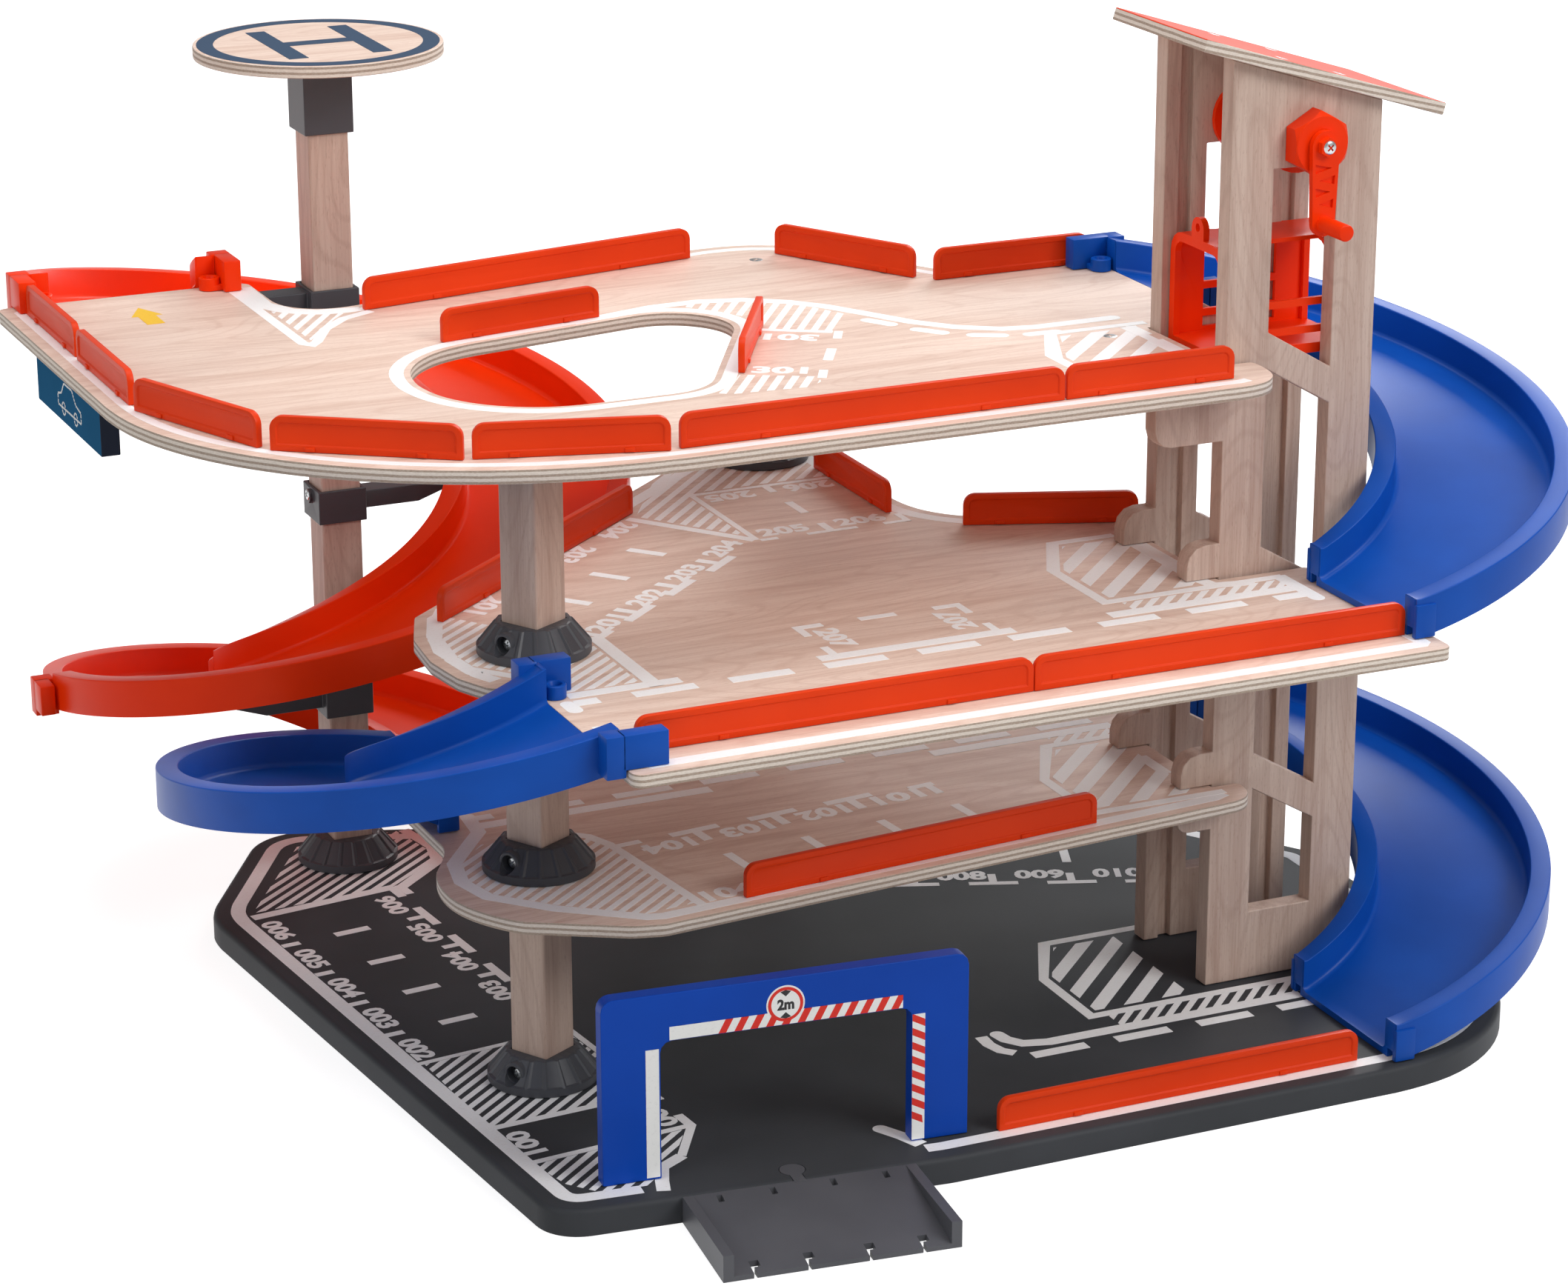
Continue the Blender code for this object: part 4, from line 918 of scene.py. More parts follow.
# Arcs drawn in few steps get a point in the middle of each step, on the arc
def refined(loop, rounds=2):
    for turn in range(rounds):
        count = len(loop)
        sides = [loop[(i + 1) % count] - loop[i] for i in range(count)]
        turns = []
        for i in range(count):
            a, b = sides[i - 1], sides[i]
            turns.append(math.atan2(a.x * b.y - a.y * b.x, a.dot(b)))
        fresh = []
        for i, side in enumerate(sides):
            fresh.append(loop[i])
            t0, t1 = turns[i], turns[(i + 1) % count]
            near = sides[i - 1].length, sides[(i + 1) % count].length
            alike = min(abs(side.length - n) for n in near) < 0.25 * side.length
            if alike and t0 * t1 > 0 and 0.04 < min(abs(t0), abs(t1)) and max(abs(t0), abs(t1)) < 0.62:
                out = Vector((side.y, -side.x)) * math.tan((t0 + t1) / 8) / 2
                fresh.append(loop[i] + side / 2 + out)
        loop = fresh
    return loop


# The lobes' outlines have few points, so their corners are cut twice
def softened(loop, left, rounds=2):
    for turn in range(rounds):
        fresh = []
        for i, p in enumerate(loop):
            q = loop[(i + 1) % len(loop)]
            if p.x < left and q.x < left and abs(p.y) < 0.9 and abs(q.y) < 0.9:
                fresh += [p * 0.75 + q * 0.25, p * 0.25 + q * 0.75]
            else:
                fresh.append(p)
        loop = fresh
    return loop


def boardPiece(node, loops, level, thick=0.06, look=("deckTop", "deckEdge"), ease=0.0005, pick=None):
    bm = bmesh.new()
    points = []
    for loop in loops:
        top = [bm.verts.new(spot(p.x, p.y, level)) for p in loop]
        low = [bm.verts.new(spot(p.x, p.y, level - thick)) for p in loop]
        points += list(zip(top, low))
        for k in range(len(loop)):
            bm.faces.new((top[k - 1], low[k - 1], low[k], top[k]))
    if len(loops) == 1:
        bm.faces.new([pair[0] for pair in points])
        bm.faces.new([pair[1] for pair in reversed(points)])
    else:
        for tri in tessellate_polygon([[p.to_3d() for p in loop] for loop in loops]):
            bm.faces.new([points[i][0] for i in tri])
            bm.faces.new([points[i][1] for i in reversed(tri)])
    bmesh.ops.recalc_face_normals(bm, faces=bm.faces)
    rim = [edge for edge in bm.edges if edge.calc_face_angle(0.0) > math.radians(34) and (pick is None or pick(edge))]
    bmesh.ops.bevel(bm, geom=rim, offset=ease, segments=4 if pick else 2, profile=0.5, affect="EDGES", clamp_overlap=True)
    mesh = bpy.data.meshes.new("look_" + node)
    bm.to_mesh(mesh)
    bm.free()
    piece = settle("look_" + node, mesh, look, smooth=34)
    mesh.polygons.foreach_set("material_index", [flatOrEdge(face) for face in mesh.polygons])
    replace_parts(piece, node)


# Ground level
base = {"thick": 0.12, "round": 0.0025, "knob": (0.604, -1.43), "knobRoom": 0.19}


def baseRim(edge):
    a, b = (vert.co for vert in edge.verts)
    middle = (a + b) / 2
    onTop = abs(a.z - b.z) < 0.00001 and abs(a.z - plan["z"]) < 0.00001
    return onTop and (middle - spot(*base["knob"])).length > base["knobRoom"] * plan["unit"]


boardPiece("base_board", [refined(rims("base_board", -base["thick"], -1.0)[0])], 0.0, base["thick"], ("base", "base"), base["round"], baseRim)
ground = inkSheet(0.0)
baseLoop = refined(rims("base_board", 0.0)[0])
border(ground, baseLoop, 0.06, 0.132, lambda x, y: y < -0.95 and -0.02 < x < 1.16)
ground.band([(0.04, -1.29), (0.07, -1.20), (0.12, -1.08), (0.24, -1.01)], 0.06)
ground.band([(1.128, -1.119), (1.18, -1.22), (1.22, -1.33)], 0.07, (True, False))
ground.hatch([(-0.60, 2.35), (-0.13, 3.10), (0.40, 3.10), (0.456, 2.80), (0.43, 2.63), (0.13, 2.39)], 40, 0.058, 0.030)
ground.line(-0.62, 2.29, 0.134, 2.3875, 0.06)
ground.band([(0.16, 2.36), (0.45, 2.62), (0.49, 2.82), (0.44, 3.10)], 0.06)
ground.line(0.165, 2.40, 0.18, 2.27, 0.045)
ground.hatch([(-0.44, 0.33), (0.27, 0.41), (0.36, -0.37), (-0.41, -0.40)], 40, 0.058, 0.030)
ground.line(-0.475, 0.345, 0.29, 0.430, 0.03)
ground.line(-0.42, -0.42, 0.37, -0.37, 0.04)
ground.line(0.29, 0.43, 0.38, -0.45, 0.03)
ground.hatch([(-0.366, -0.83), (0.36, -0.77), (0.22, -0.99), (0.12, -1.08), (0.06, -1.22), (-0.2, -1.2), (-0.31, -1.06)], 40, 0.058, 0.030)
ground.line(-0.37, -0.81, 0.40, -0.744, 0.035)
ground.line(0.40, -0.744, 0.24, -1.01, 0.04)
for i in range(5):
    dx, dy = 0.0343 * i, -0.397 * i
    ground.words("00" + str(6 - i), -0.553 + dx, 2.094 + dy, 0.106, -85, 0.24)
    ground.words("00" + str(6 - i), 0.05 + dx * 0.95, 2.169 + dy, 0.106, 95, 0.24)
    if i < 4:
        ground.bar(-0.553 + dx, 1.897 + dy, 0.09, 0.04, 5)
        ground.bar(0.159 + dx, 1.969 + dy, 0.045, 0.24, 5)
        ground.bar(0.100 + dx, 1.964 + dy, 0.08, 0.04, 5)
        ground.bar(-0.234 + dx, 1.934 + dy, 0.18, 0.05, 5.9)
ground.words("001", -0.319, -0.61, 0.106, -85, 0.24)
ground.words("001", 0.306, -0.59, 0.106, 95, 0.24)
ground.bar(0.128, 2.32, 0.045, 0.14, 5)
ground.bar(0.39, -0.69, 0.045, 0.13, 5)
liftZone(ground, 2.498, 0.389, -0.407, 4.17, 0.04, 2.74)
ground.hatch([(2.6, -0.573), (3.58, -0.573), (3.58, -0.459), (2.6, -0.459)], 45, 0.0594, 0.030)
ground.band([(3.53, -0.6045), (2.22, -0.6045), (2.10, -0.57), (2.05, -0.50), (2.04, -0.436)], 0.07, (False, True))
for x0, x1 in ((2.08, 2.357), (2.505, 2.782), (2.93, 3.207), (3.355, 3.63)):
    ground.block(x0, -0.739, x1, -0.675)
ground.band([(2.02, -0.65), (1.975, -0.60), (1.955, -0.52), (1.96, -0.43)], 0.06)
row(ground, ["007", "008", "009", "010"], 2.385, 1.500, 0.363, -0.141, -21, 0.115, 0.25)
tees(ground, [(2.123, 1.489), (2.486, 1.348), (2.85, 1.2045), (3.211, 1.059), (3.57, 0.915)], -21, (0.245, 0.04), (0.10, 0.04), 1)
ground.bar(3.345, 1.393, 0.19, 0.045, 69)
ground.bar(2.982, 1.534, 0.19, 0.045, 69)
ground.make("print_ground", "whiteInk")

# First deck
boardPiece("deck_1", [refined(rims("deck_1", 1.0)[0])], 1.0)
first = inkSheet(1.0)
first.band([(-0.075, 0.70), (-0.095, 0.50), (-0.18, 0.385), (-0.325, 0.185), (-0.37, -0.03), (-0.325, -0.235), (-0.11, -0.475), (0.215, -0.728), (0.28, -0.745), (3.10, -0.487), (3.17, -0.455)], 0.068, (True, False))
first.block(2.573, -0.455, 3.19, -0.405)
first.hatch([(-0.30, 0.17), (-0.335, -0.03), (-0.29, -0.22), (-0.09, -0.44), (0.22, -0.69), (0.455, -0.665), (0.36, 0.13), (0.30, 0.25), (0.1, 0.33), (-0.14, 0.35)], 40, 0.058, 0.030)
first.line(0.38, 0.13, 0.48, -0.70, 0.045)
first.band([(0.24, 0.33), (0.33, 0.25), (0.38, 0.12)], 0.05)
for i in range(4):
    dx, dy = 0.3953 * i, 0.0417 * i
    first.words("10" + str(4 - i), 0.614 + dx, -0.003 + dy, 0.118, 186, 0.25)
    first.words("10" + str(4 - i), 0.641 + dx * 0.995, -0.607 + dy, 0.118, 6, 0.25)
    first.bar(0.823 + dx * 0.993, -0.289 + dy, 0.045, 0.186, 6)
tees(first, [(0.789, 0.12), (1.186, 0.1545), (1.58, 0.189)], 6, (0.243, 0.045), (0.11, 0.045), -1)
first.bar(0.455, 0.09, 0.13, 0.04, 6)
first.bar(1.955, 0.205, 0.13, 0.04, 6)
first.bar(1.99, 0.155, 0.04, 0.14, 6)
tees(first, [(0.845, -0.675), (1.24, -0.634), (1.633, -0.593)], 6, (0.243, 0.045), (0.11, 0.045), 1)
for x0, x1 in ((-0.075, 1.061), (2.186, 3.14)):
    first.block(x0, 0.53, x1, 0.602)
for x0, x1 in ((-0.064, 0.032), (0.187, 0.468), (0.623, 0.905), (1.057, 1.339), (1.493, 1.773), (1.93, 2.209), (2.361, 2.641), (2.795, 3.077)):
    first.block(x0, 0.632, x1, 0.691)
liftZone(first, 2.482, 0.4045, -0.407, 3.10, 0.04, 2.74, 3.17)
first.hatch([(2.777, 0.455), (3.10, 0.455), (3.10, 0.535), (2.777, 0.535)], 45, 0.0594, 0.030)
first.block(3.03, -0.12, 3.09, 0.13)
first.make("print_deck_1", "whiteInk")

# Second deck
second = inkSheet(2.0)
secondLoop = softened(refined(backEdge(rims("deck_2", 2.0)[0])), -0.26)
boardPiece("deck_2", [secondLoop], 2.0)
border(second, secondLoop, 0.055, 0.125, lambda x, y: (x > 3.3 and -1.3 < y < 1.0) or (x < -0.02 and -0.95 < y < -0.3))
liftZone(second, 2.5175, 0.40, -0.4125, 3.05, 0.075, 2.75, 3.45)
second.block(3.0625, -0.1, 3.13, 0.25)
second.hatch([(2.61, -0.57), (3.4, -0.57), (3.4, -0.475), (2.61, -0.475)], 45, 0.0594, 0.030)
second.block(2.475, -0.6425, 3.4, -0.57)
second.band([(3.435, -0.425), (3.435, -0.77)], 0.07, (False, True))
for x0, x1 in ((-0.0875, 0.0175), (0.1725, 0.4575), (0.6125, 0.9), (1.055, 1.34), (1.4975, 1.78), (1.935, 2.2225), (2.3775, 2.6625), (2.8175, 3.1025), (3.26, 3.4)):
    second.block(x0, -0.7375, x1, -0.67)
second.band([(-0.12, -0.70), (-0.12, -0.78)], 0.068, (True, True))
second.block(0.27, -0.6425, 0.3375, 0.0625)
second.block(-0.0875, -0.6425, 0.425, -0.575)
second.hatch([(-0.10, -0.56), (0.255, -0.56), (0.255, 0.05), (0.0, 0.1), (-0.10, -0.2)], 40, 0.058, 0.030)
second.band([(-0.17, 0.70), (-0.27, 0.52), (-0.33, 0.38), (-0.38, 0.15), (-0.35, -0.09), (-0.17, -0.31)], 0.05)
second.hatch([(-0.20, 0.60), (-0.29, 0.38), (-0.34, 0.15), (-0.31, -0.08), (-0.15, -0.26), (0.05, -0.25), (0.05, 0.25)], 40, 0.058, 0.030)
for i in range(4):
    dx, dy = 0.2975 * i, 0.262 * i
    second.words("20" + str(i + 1), 0.42 + dx, 0.2075 + dy, 0.112, 41, 0.25)
    second.words("20" + str(i + 1), 0.0325 + dx * 1.06, 0.665 + dy, 0.112, 221, 0.25)
    if i < 3:
        second.bar(0.395 + dx * 0.97, 0.5625 + dy, 0.19, 0.05, -49)
tees(second, [(0.6075, 0.2825), (0.9125, 0.5425), (1.215, 0.785)], 41.4, (0.243, 0.045), (0.10, 0.045), 1)
second.bar(0.35, 0.07, 0.13, 0.04, 41.4)
second.bar(0.30, 0.10, 0.04, 0.13, 41.4)
second.line(1.51, 1.05, 1.51, 1.83, 0.03)
second.line(1.0875, 1.60, 1.50, 1.05, 0.05)
second.hatch([(1.14, 1.62), (1.485, 1.13), (1.485, 2.20), (2.25, 2.20), (2.25, 2.28), (1.9, 2.30)], 47, 0.070, 0.034)
second.hatch([(1.53, 1.86), (2.25, 1.86), (2.25, 2.22), (1.53, 2.10)], 47, 0.070, 0.034)
second.words("205", 1.6825, 1.1375, 0.115, 0, 0.25)
second.words("206", 2.08, 1.1375, 0.115, 0, 0.25)
second.words("205", 1.675, 1.7375, 0.115, 180, 0.25)
second.words("206", 2.0875, 1.7375, 0.115, 180, 0.25)
second.block(1.7625, 1.02, 2.02, 1.05)
second.block(1.8675, 1.02, 1.9075, 1.1625)
second.block(1.525, 1.02, 1.6125, 1.05)
second.block(2.1575, 1.02, 2.295, 1.05)
second.block(2.2625, 1.02, 2.295, 1.15)
second.block(1.875, 1.7125, 1.9125, 1.8125)
second.block(1.51, 1.81, 2.26, 1.84)
second.bar(1.89, 1.4375, 0.0425, 0.19)
for a, b in ((1.15125, 1), (1.93125, -1)):
    second.block(a - 0.01875, -0.3175, a + 0.01875, -0.175)
    second.block(min(a, a + b * 0.12), -0.2175, max(a, a + b * 0.12), -0.175)
    second.block(a - 0.01875, -0.60, a + 0.01875, -0.475)
second.block(1.0675, -0.6425, 2.0025, -0.575)
second.block(1.45, -0.2175, 1.6275, -0.175)
second.words("207", 1.25, -0.38, 0.115, -90, 0.25)
second.words("207", 1.83, -0.38, 0.115, 90, 0.25)
second.make("print_deck_2", "whiteInk")

# Top deck
third = inkSheet(3.0)
thirdLoops = [refined(loop) for loop in rims("deck_3", 3.0)]
boardPiece("deck_3", thirdLoops, 3.0)
border(third, thirdLoops[0], 0.055, 0.105, lambda x, y: x > 3.15 or (y > 0.75 and x > 2.9) or (y > 2.7 and -1.36 < x < -0.5))
for hole in thirdLoops[1:]:
    border(third, hole, -0.03, -0.095)
third.band([(0.8, 1.535), (1.25, 1.65), (1.48, 1.655), (1.685, 1.60), (1.86, 1.475), (1.985, 1.33), (2.095, 1.14), (2.23, 0.90), (2.37, 0.735), (2.55, 0.615), (2.71, 0.582), (3.106, 0.584)], 0.072, (False, True))
third.hatch([(1.357, 1.627), (1.55, 1.627), (1.777, 1.536), (1.914, 1.355), (2.016, 1.15), (1.96, 1.08), (1.823, 0.889), (1.527, 1.059), (1.56, 1.33), (1.48, 1.468)], 55, 0.065, 0.032)
third.line(1.527, 1.07, 1.823, 0.889, 0.04)
third.bar(1.823, 0.832, 0.13, 0.04, 62)
third.words("301", 1.611, 0.882, 0.112, 150, 0.25)
third.bar(1.6455, 0.536, 0.20, 0.045, 60)
third.words("301", 1.334, 0.3886, 0.112, -28, 0.25)
third.hatch([(1.14, 0.389), (1.448, 0.218), (1.42, 0.14), (1.345, 0.082), (0.98, 0.116), (0.936, 0.15), (1.07, 0.286)], 55, 0.065, 0.032)
third.bar(1.48, 0.25, 0.13, 0.04, 62)
for x, y, turn in ((2.09, 0.957, 120), (2.232, 0.718, 128), (2.44, 0.543, 152), (2.686, 0.475, 178)):
    t = math.radians(turn)
    dx, dy = 0.065 * math.cos(t), 0.065 * math.sin(t)
    third.band([(x - dx, y - dy), (x + dx, y + dy)], 0.066, (True, True))
liftZone(third, 2.511, 0.42, -0.38, 3.20, 0.116, 2.73, 3.17)
third.block(3.05, 0.25, 3.13, 0.41)
third.block(3.05, -0.07, 3.13, 0.15)
third.band([(-0.44, 2.80), (-0.44, 1.70), (-0.41, 1.66), (-0.37, 1.71), (-0.27, 1.90), (-0.13, 2.05), (0.03, 2.13)], 0.05)
third.band([(-0.36, 2.80), (-0.37, 2.45), (-0.30, 2.30), (-0.2, 2.23), (0.0, 2.20)], 0.05)
third.hatch([(-0.395, 2.31), (-0.1, 2.14), (-0.17, 2.06), (-0.39, 1.74)], 55, 0.065, 0.032)
third.make("print_deck_3", "whiteInk")
arrow = inkSheet(3.0)
arrow.block(-0.986, 2.317, -0.902, 2.474)
arrow.area([(-1.017, 2.474), (-0.867, 2.474), (-0.938, 2.636)])
arrow.make("print_arrow", "yellowInk")

# Helipad: ring and letter, centred on the tall post
pad = inkSheet(4.13)
cx, cy = 0.0636, 2.8678
count = 72
for k in range(count):
    a, b = math.tau * k / count, math.tau * (k + 1) / count
    pad.area([(cx + r * math.cos(t), cy + r * math.sin(t)) for r, t in ((0.493, a), (0.572, a), (0.572, b), (0.493, b))])
slant = -0.65
for side in (-1, 1):
    pad.bar(cx + side * 0.204, cy - side * 0.0023, 0.094, 0.70, slant)
pad.bar(cx, cy, 0.33, 0.092, slant)
pad.make("print_helipad", "navyInk")

# Stickers on the gate: warning stripes and a height sign, u along the gate's front and v up
def onFront(x, y, turn):
    # plan axes: u to the right, v up, film towards the viewer
    place = Matrix.Translation(spot(x, y)) @ Matrix.Rotation(math.radians(turn), 4, "Z")
    return place @ Matrix.Rotation(math.pi / 2, 4, "X")


gate = {"x": -0.181, "y": -1.159, "turn": -5.49, "stripe": 0.033, "slope": -28.0, "topSlope": 62.0}
gateFront = onFront(gate["x"], gate["y"], gate["turn"])
strips = ((0.193, 0.014, 0.2514, 0.601, "slope", 0.065), (1.381, 0.010, 1.4386, 0.596, "slope", 0.065), (0.2986, 0.634, 1.337, 0.694, "topSlope", 0.070))
white = inkSheet(place=gateFront)
red = inkSheet(place=gateFront)
for u0, v0, u1, v1, slope, pitch in strips:
    white.block(u0, v0, u1, v1)
    red.hatch([(u0, v0), (u1, v0), (u1, v1), (u0, v1)], gate[slope], pitch * math.cos(math.radians(gate["slope"])), 0.030)
white.disc(0.811, 0.7257, 0.0857, 48)
white.make("gate_stickers_white", "whiteVinyl")
red.make("gate_stickers_red", "redVinyl", lift=0.00005)
ring = inkSheet(place=gateFront)
ring.disc(0.811, 0.7257, 0.078, 48)
ring.make("gate_sign_red", "redVinyl", lift=0.00009)
plate = inkSheet(place=gateFront)
plate.disc(0.811, 0.7257, 0.064, 48)
plate.make("gate_sign_plate", "whiteVinyl", lift=0.00013)
marks = inkSheet(place=gateFront)
marks.area([(0.787, 0.7837), (0.811, 0.7617), (0.835, 0.7837), (0.811, 0.7907)])
marks.area([(0.787, 0.6677), (0.811, 0.6607), (0.835, 0.6677), (0.811, 0.6897)])
marks.words("2m", 0.811, 0.7257, 0.050, 0, 0.075)
marks.make("gate_sign_marks", "blackVinyl", lift=0.00017)

# A plain dotted car outline on the sign under the top deck
signFace = Matrix.Translation(spot(-1.50, 2.374, 2.694)) @ Matrix.Rotation(-math.pi / 2, 4, "Z") @ Matrix.Rotation(math.pi / 2, 4, "X")
sign = inkSheet(place=signFace)
outline = [(0.36, 0.07), (0.36, 0.12), (0.42, 0.135), (0.47, 0.19), (0.60, 0.19), (0.66, 0.135), (0.74, 0.12), (0.74, 0.07), (0.36, 0.07)]
for (x0, y0), (x1, y1) in zip(outline, outline[1:]):
    reach = math.hypot(x1 - x0, y1 - y0)
    dots = max(1, round(reach / 0.021))
    for i in range(dots):
        a, b = (i + 0.14) / dots, (i + 0.86) / dots
        sign.line(x0 + (x1 - x0) * a, y0 + (y1 - y0) * a, x0 + (x1 - x0) * b, y0 + (y1 - y0) * b, 0.009)
for x in (0.45, 0.65):
    for k in range(10):
        t = math.tau * k / 10
        sign.bar(x + 0.028 * math.cos(t), 0.068 + 0.028 * math.sin(t), 0.013, 0.008, math.degrees(t) + 90)
sign.make("sign_print", "whiteVinyl")


# Screws: one cross-head screw made once, then set on points by Geometry Nodes
screw = {"head": 0.0030, "dome": 0.0011, "slotLong": 0.0036, "slotWide": 0.00075, "slotDeep": 0.0010}


def screwHead(name, flat):
    bm = bmesh.new()
    r, h = screw["head"], 0.00035 if flat else screw["dome"]
    profile = [(0, -0.0004), (r, -0.0004), (r, h * 0.35)]
    profile += [(r * math.cos(math.radians(a)), h * (0.35 + 0.65 * math.sin(math.radians(a)))) for a in (25, 45, 65)] + [(0, h)]
    turned(bm, profile, 0, 0, 24)
    bmesh.ops.recalc_face_normals(bm, faces=bm.faces)
    mesh = bpy.data.meshes.new(name)
    bm.to_mesh(mesh)
    bm.free()
    head = bpy.data.objects.new(name, mesh)
    bpy.context.collection.objects.link(head)
    cutter = bmesh.new()
    for turn in (0, 90):
        made = bmesh.ops.create_cube(cutter, size=1.0)
        size = Matrix.Diagonal((screw["slotLong"], screw["slotWide"] * (1.0 if turn else 1.02), 2 * screw["slotDeep"], 1.0))
        bmesh.ops.transform(cutter, matrix=Matrix.Translation((0, 0, h)) @ Matrix.Rotation(math.radians(turn), 4, "Z") @ size, verts=made["verts"])
        cross = bpy.data.meshes.new(name + "_cross")
        cutter.to_mesh(cross)
        cutter.clear()
        tool = bpy.data.objects.new(name + "_cross", cross)
        bpy.context.collection.objects.link(tool)
        cut = head.modifiers.new("cross", "BOOLEAN")
        cut.operation, cut.solver, cut.object = "DIFFERENCE", "EXACT", tool
        bpy.context.view_layer.update()
        bakeModifiers(head)
        bpy.data.objects.remove(tool)
    cutter.free()
    return head


def screwTree():
    tree = bpy.data.node_groups.new("screws", "GeometryNodeTree")
    tree.interface.new_socket("Geometry", in_out="INPUT", socket_type="NodeSocketGeometry")
    tree.interface.new_socket("Head", in_out="INPUT", socket_type="NodeSocketObject")
    tree.interface.new_socket("Head scale", in_out="INPUT", socket_type="NodeSocketFloat")
    tree.interface.new_socket("Turn spread", in_out="INPUT", socket_type="NodeSocketFloat")
    tree.interface.new_socket("Seed", in_out="INPUT", socket_type="NodeSocketInt")
    tree.interface.new_socket("Metal", in_out="INPUT", socket_type="NodeSocketMaterial")
    tree.interface.new_socket("Geometry", in_out="OUTPUT", socket_type="NodeSocketGeometry")
    start = addNode(tree, "NodeGroupInput")
    facing = addNode(tree, "GeometryNodeInputNamedAttribute", {"data_type": "FLOAT_VECTOR"}, {"Name": "facing"})
    spread = addNode(tree, "FunctionNodeRandomValue", {"data_type": "FLOAT"}, links={"Seed": start.outputs["Seed"], 3: start.outputs["Turn spread"]})
    aim = addNode(tree, "FunctionNodeAlignRotationToVector", {"axis": "Z"}, links={"Vector": facing.outputs[0]})
    twist = addNode(tree, "FunctionNodeAxisAngleToRotation", links={"Angle": spread.outputs[1]})
    both = addNode(tree, "FunctionNodeRotateRotation", {"rotation_space": "LOCAL"}, links={0: aim.outputs[0], 1: twist.outputs[0]})
    head = addNode(tree, "GeometryNodeObjectInfo", links={"Object": start.outputs["Head"]})
    lay = addNode(tree, "GeometryNodeInstanceOnPoints", links={
        "Points": start.outputs["Geometry"], "Instance": head.outputs["Geometry"], "Rotation": both.outputs[0], "Scale": start.outputs["Head scale"]})
    real = addNode(tree, "GeometryNodeRealizeInstances", links={"Geometry": lay.outputs["Instances"]})
    paint = addNode(tree, "GeometryNodeSetMaterial", links={"Geometry": real.outputs["Geometry"], "Material": start.outputs["Metal"]})
    addNode(tree, "NodeGroupOutput", links={0: paint.outputs["Geometry"]})
    return tree


def setScrews(name, spots, head, scale, body="garage"):
    piece = pointPiece(name, [at for at, facing in spots], {"facing": [facing for at, facing in spots]})
    mesh = grown(piece, screwGrid, {"Head": head, "Head scale": scale, "Turn spread": math.pi, "Seed": 7, "Metal": finish["zinc"]})
    settle(name, mesh, ["zinc"], body, smooth=30)


screwGrid = screwTree()
domed = screwHead("screw_domed", False)
flush = screwHead("screw_flush", True)
bossB = (math.cos(math.radians(209.6)), math.sin(math.radians(209.6)), 0.0)
bossC = (-1.0, 0.0, 0.0)
footScrews = []
for x, y, facing, feet, heads in ((0.0, 0.0, bossB, (0, 1, 2), (1, 2, 3)), (2.065, 2.285, bossC, (0, 2), (2, 3))):
    way = Vector(facing) * 0.0171
    footScrews += [(spot(x, y, level) + way + Vector((0, 0, footShape["bossHigh"])), facing) for level in feet]
    footScrews += [(spot(x, y, level - 0.06) + way - Vector((0, 0, footShape["bossHigh"])), facing) for level in heads]
low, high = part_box("bracket_2")
footScrews.append((Vector((low.x + 0.0003, (spot(0, 2.8678).y), spot(0, 0, 1.917).z)), (-1.0, 0.0, 0.0)))
setScrews("screws_cones", footScrews, domed, 0.90)
deckScrews = [(spot(x, y, 3.0) + Vector((0, 0, -0.0002)), (0.0, 0.0, 1.0)) for x, y in ((2.061, 2.291), (2.941, 0.302), (2.936, -0.2975), (0.0, 0.0))]
setScrews("screws_deck", deckScrews[:3], flush, 1.15)
setScrews("screw_crank", [(spot(3.572, -0.505, 3.973) + Vector((0, 0.0003, 0)), (0.0, -1.0, 0.0))], domed, 1.03, "crank_handle")
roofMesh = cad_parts["tower_roof"].data
topFace = max(roofMesh.polygons, key=lambda face: face.area * (face.normal.z > 0.5))
roofUp, roofAt = topFace.normal.copy(), topFace.center.copy()
roofScrews = []
for x in (3.434, 3.731):
    for y in (-0.2975, 0.2975):
        at = spot(x, y)
        at.z = roofAt.z - ((at.x - roofAt.x) * roofUp.x + (at.y - roofAt.y) * roofUp.y) / roofUp.z
        roofScrews.append((at - roofUp * 0.0002, tuple(roofUp)))
setScrews("screws_roof", roofScrews, flush, 1.1)
for head in (domed, flush):
    bpy.data.objects.remove(head)
print("scene: roof rises", tuple(round(n, 4) for n in roofUp))
print("scene: printing laid")

# Studio
studio = {"world": 0.36, "key": 44.0, "side": 42.0, "rim": 27.0, "top": 36.0, "floorShade": "#b4b4b4", "glow": 0.84}


def areaLight(name, power, size, at, aim):
    light = bpy.data.lights.new(name, "AREA")
    light.energy = power
    light.size = size
    lamp = bpy.data.objects.new(name, light)
    lamp.location = at
    lamp.rotation_euler = (Vector(aim) - Vector(at)).to_track_quat("-Z", "Y").to_euler()
    bpy.context.collection.objects.link(lamp)


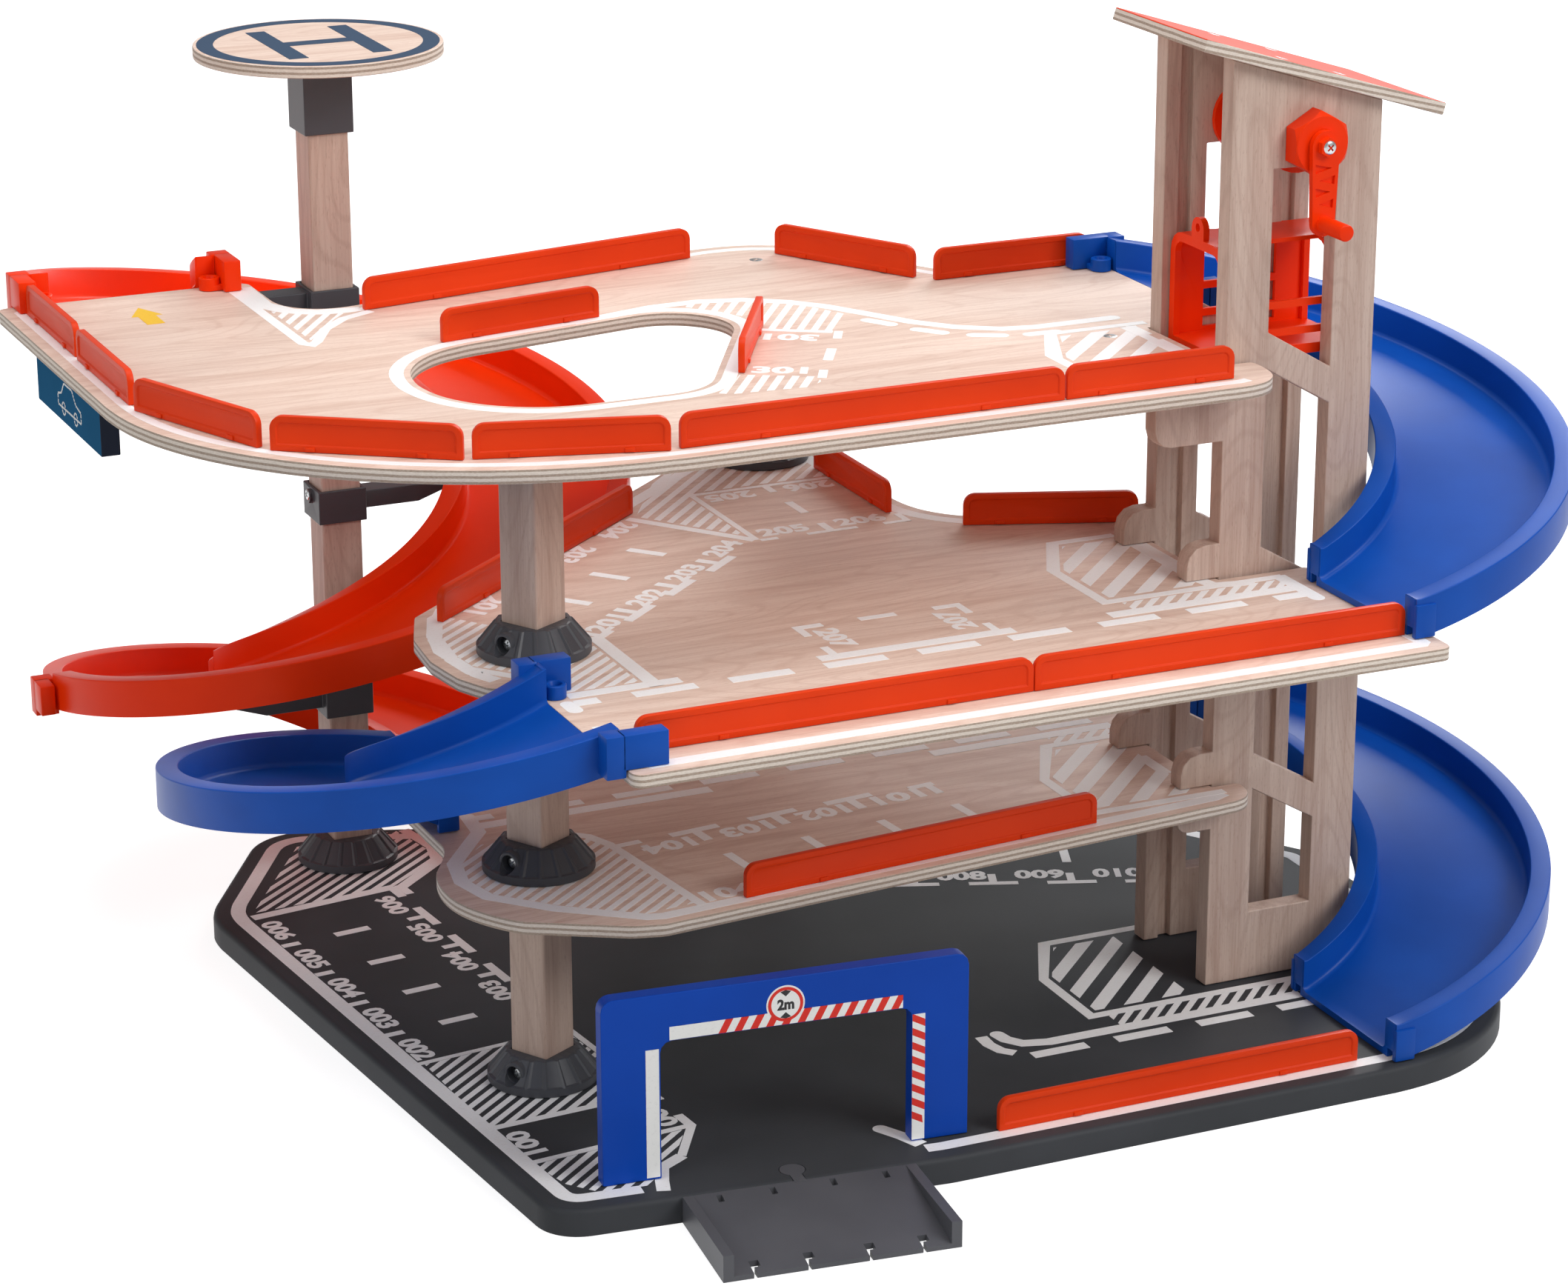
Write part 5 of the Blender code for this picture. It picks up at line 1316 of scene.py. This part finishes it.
world = bpy.data.worlds.new("studio")
bpy.context.scene.world = world
world.use_nodes = True
world.node_tree.nodes["Background"].inputs["Color"].default_value = (1, 1, 1, 1)
world.node_tree.nodes["Background"].inputs["Strength"].default_value = studio["world"]
areaLight("key", studio["key"], 1.5, (1.3, -2.3, 2.0), (0, 0, 0.15))
areaLight("side", studio["side"], 2.6, (-4.6, -1.1, 2.6), (0, 0, 0.2))
areaLight("rim", studio["rim"], 1.2, (2.0, 1.8, 1.7), (0.1, 0, 0.2))
areaLight("top", studio["top"], 2.0, (0.0, 0.0, 2.8), (0, 0, 0))

floorMesh = bpy.data.meshes.new("floor")
floorMesh.from_pydata([(-9, -9, -0.0002), (9, -9, -0.0002), (9, 9, -0.0002), (-9, 9, -0.0002)], [], [(0, 1, 2, 3)])
floor = bpy.data.objects.new("floor", floorMesh)
bpy.context.collection.objects.link(floor)
paper = bpy.data.materials.new("matt white backdrop paper")
paper.use_nodes = True
tree = paper.node_tree
shader = tree.nodes["Principled BSDF"]
shader.inputs["Base Color"].default_value = sRgb(studio["floorShade"])
shader.inputs["Roughness"].default_value = 0.9
path = addNode(tree, "ShaderNodeLightPath")
seen = addNode(tree, "ShaderNodeMath", {"operation": "MAXIMUM"}, links={0: path.outputs["Is Camera Ray"], 1: path.outputs["Is Glossy Ray"]})
glow = addNode(tree, "ShaderNodeMath", {"operation": "MULTIPLY"}, {1: studio["glow"]}, {0: seen.outputs[0]})
light = addNode(tree, "ShaderNodeEmission", links={"Strength": glow.outputs[0]})
both = addNode(tree, "ShaderNodeAddShader", links={0: shader.outputs[0], 1: light.outputs[0]})
tree.links.new(both.outputs[0], tree.nodes["Material Output"].inputs["Surface"])
floorMesh.materials.append(paper)

scene = bpy.context.scene
scene.view_settings.view_transform = "Standard"
camera = bpy.data.cameras.new("camera")
camera.lens = 100.07
camera.sensor_width = 36.0
camera.shift_x = -0.0012
camera.shift_y = -0.0005
viewer = bpy.data.objects.new("camera", camera)
bpy.context.collection.objects.link(viewer)
viewer.matrix_world = (
    Matrix.Translation((-0.81276, -1.75083, 0.82136))
    @ Matrix.Rotation(math.radians(-24.20), 4, "Z")
    @ Matrix.Rotation(math.radians(71.13), 4, "X")
    @ Matrix.Rotation(math.radians(-0.11), 4, "Z")
)
scene.camera = viewer
print("scene: studio set")
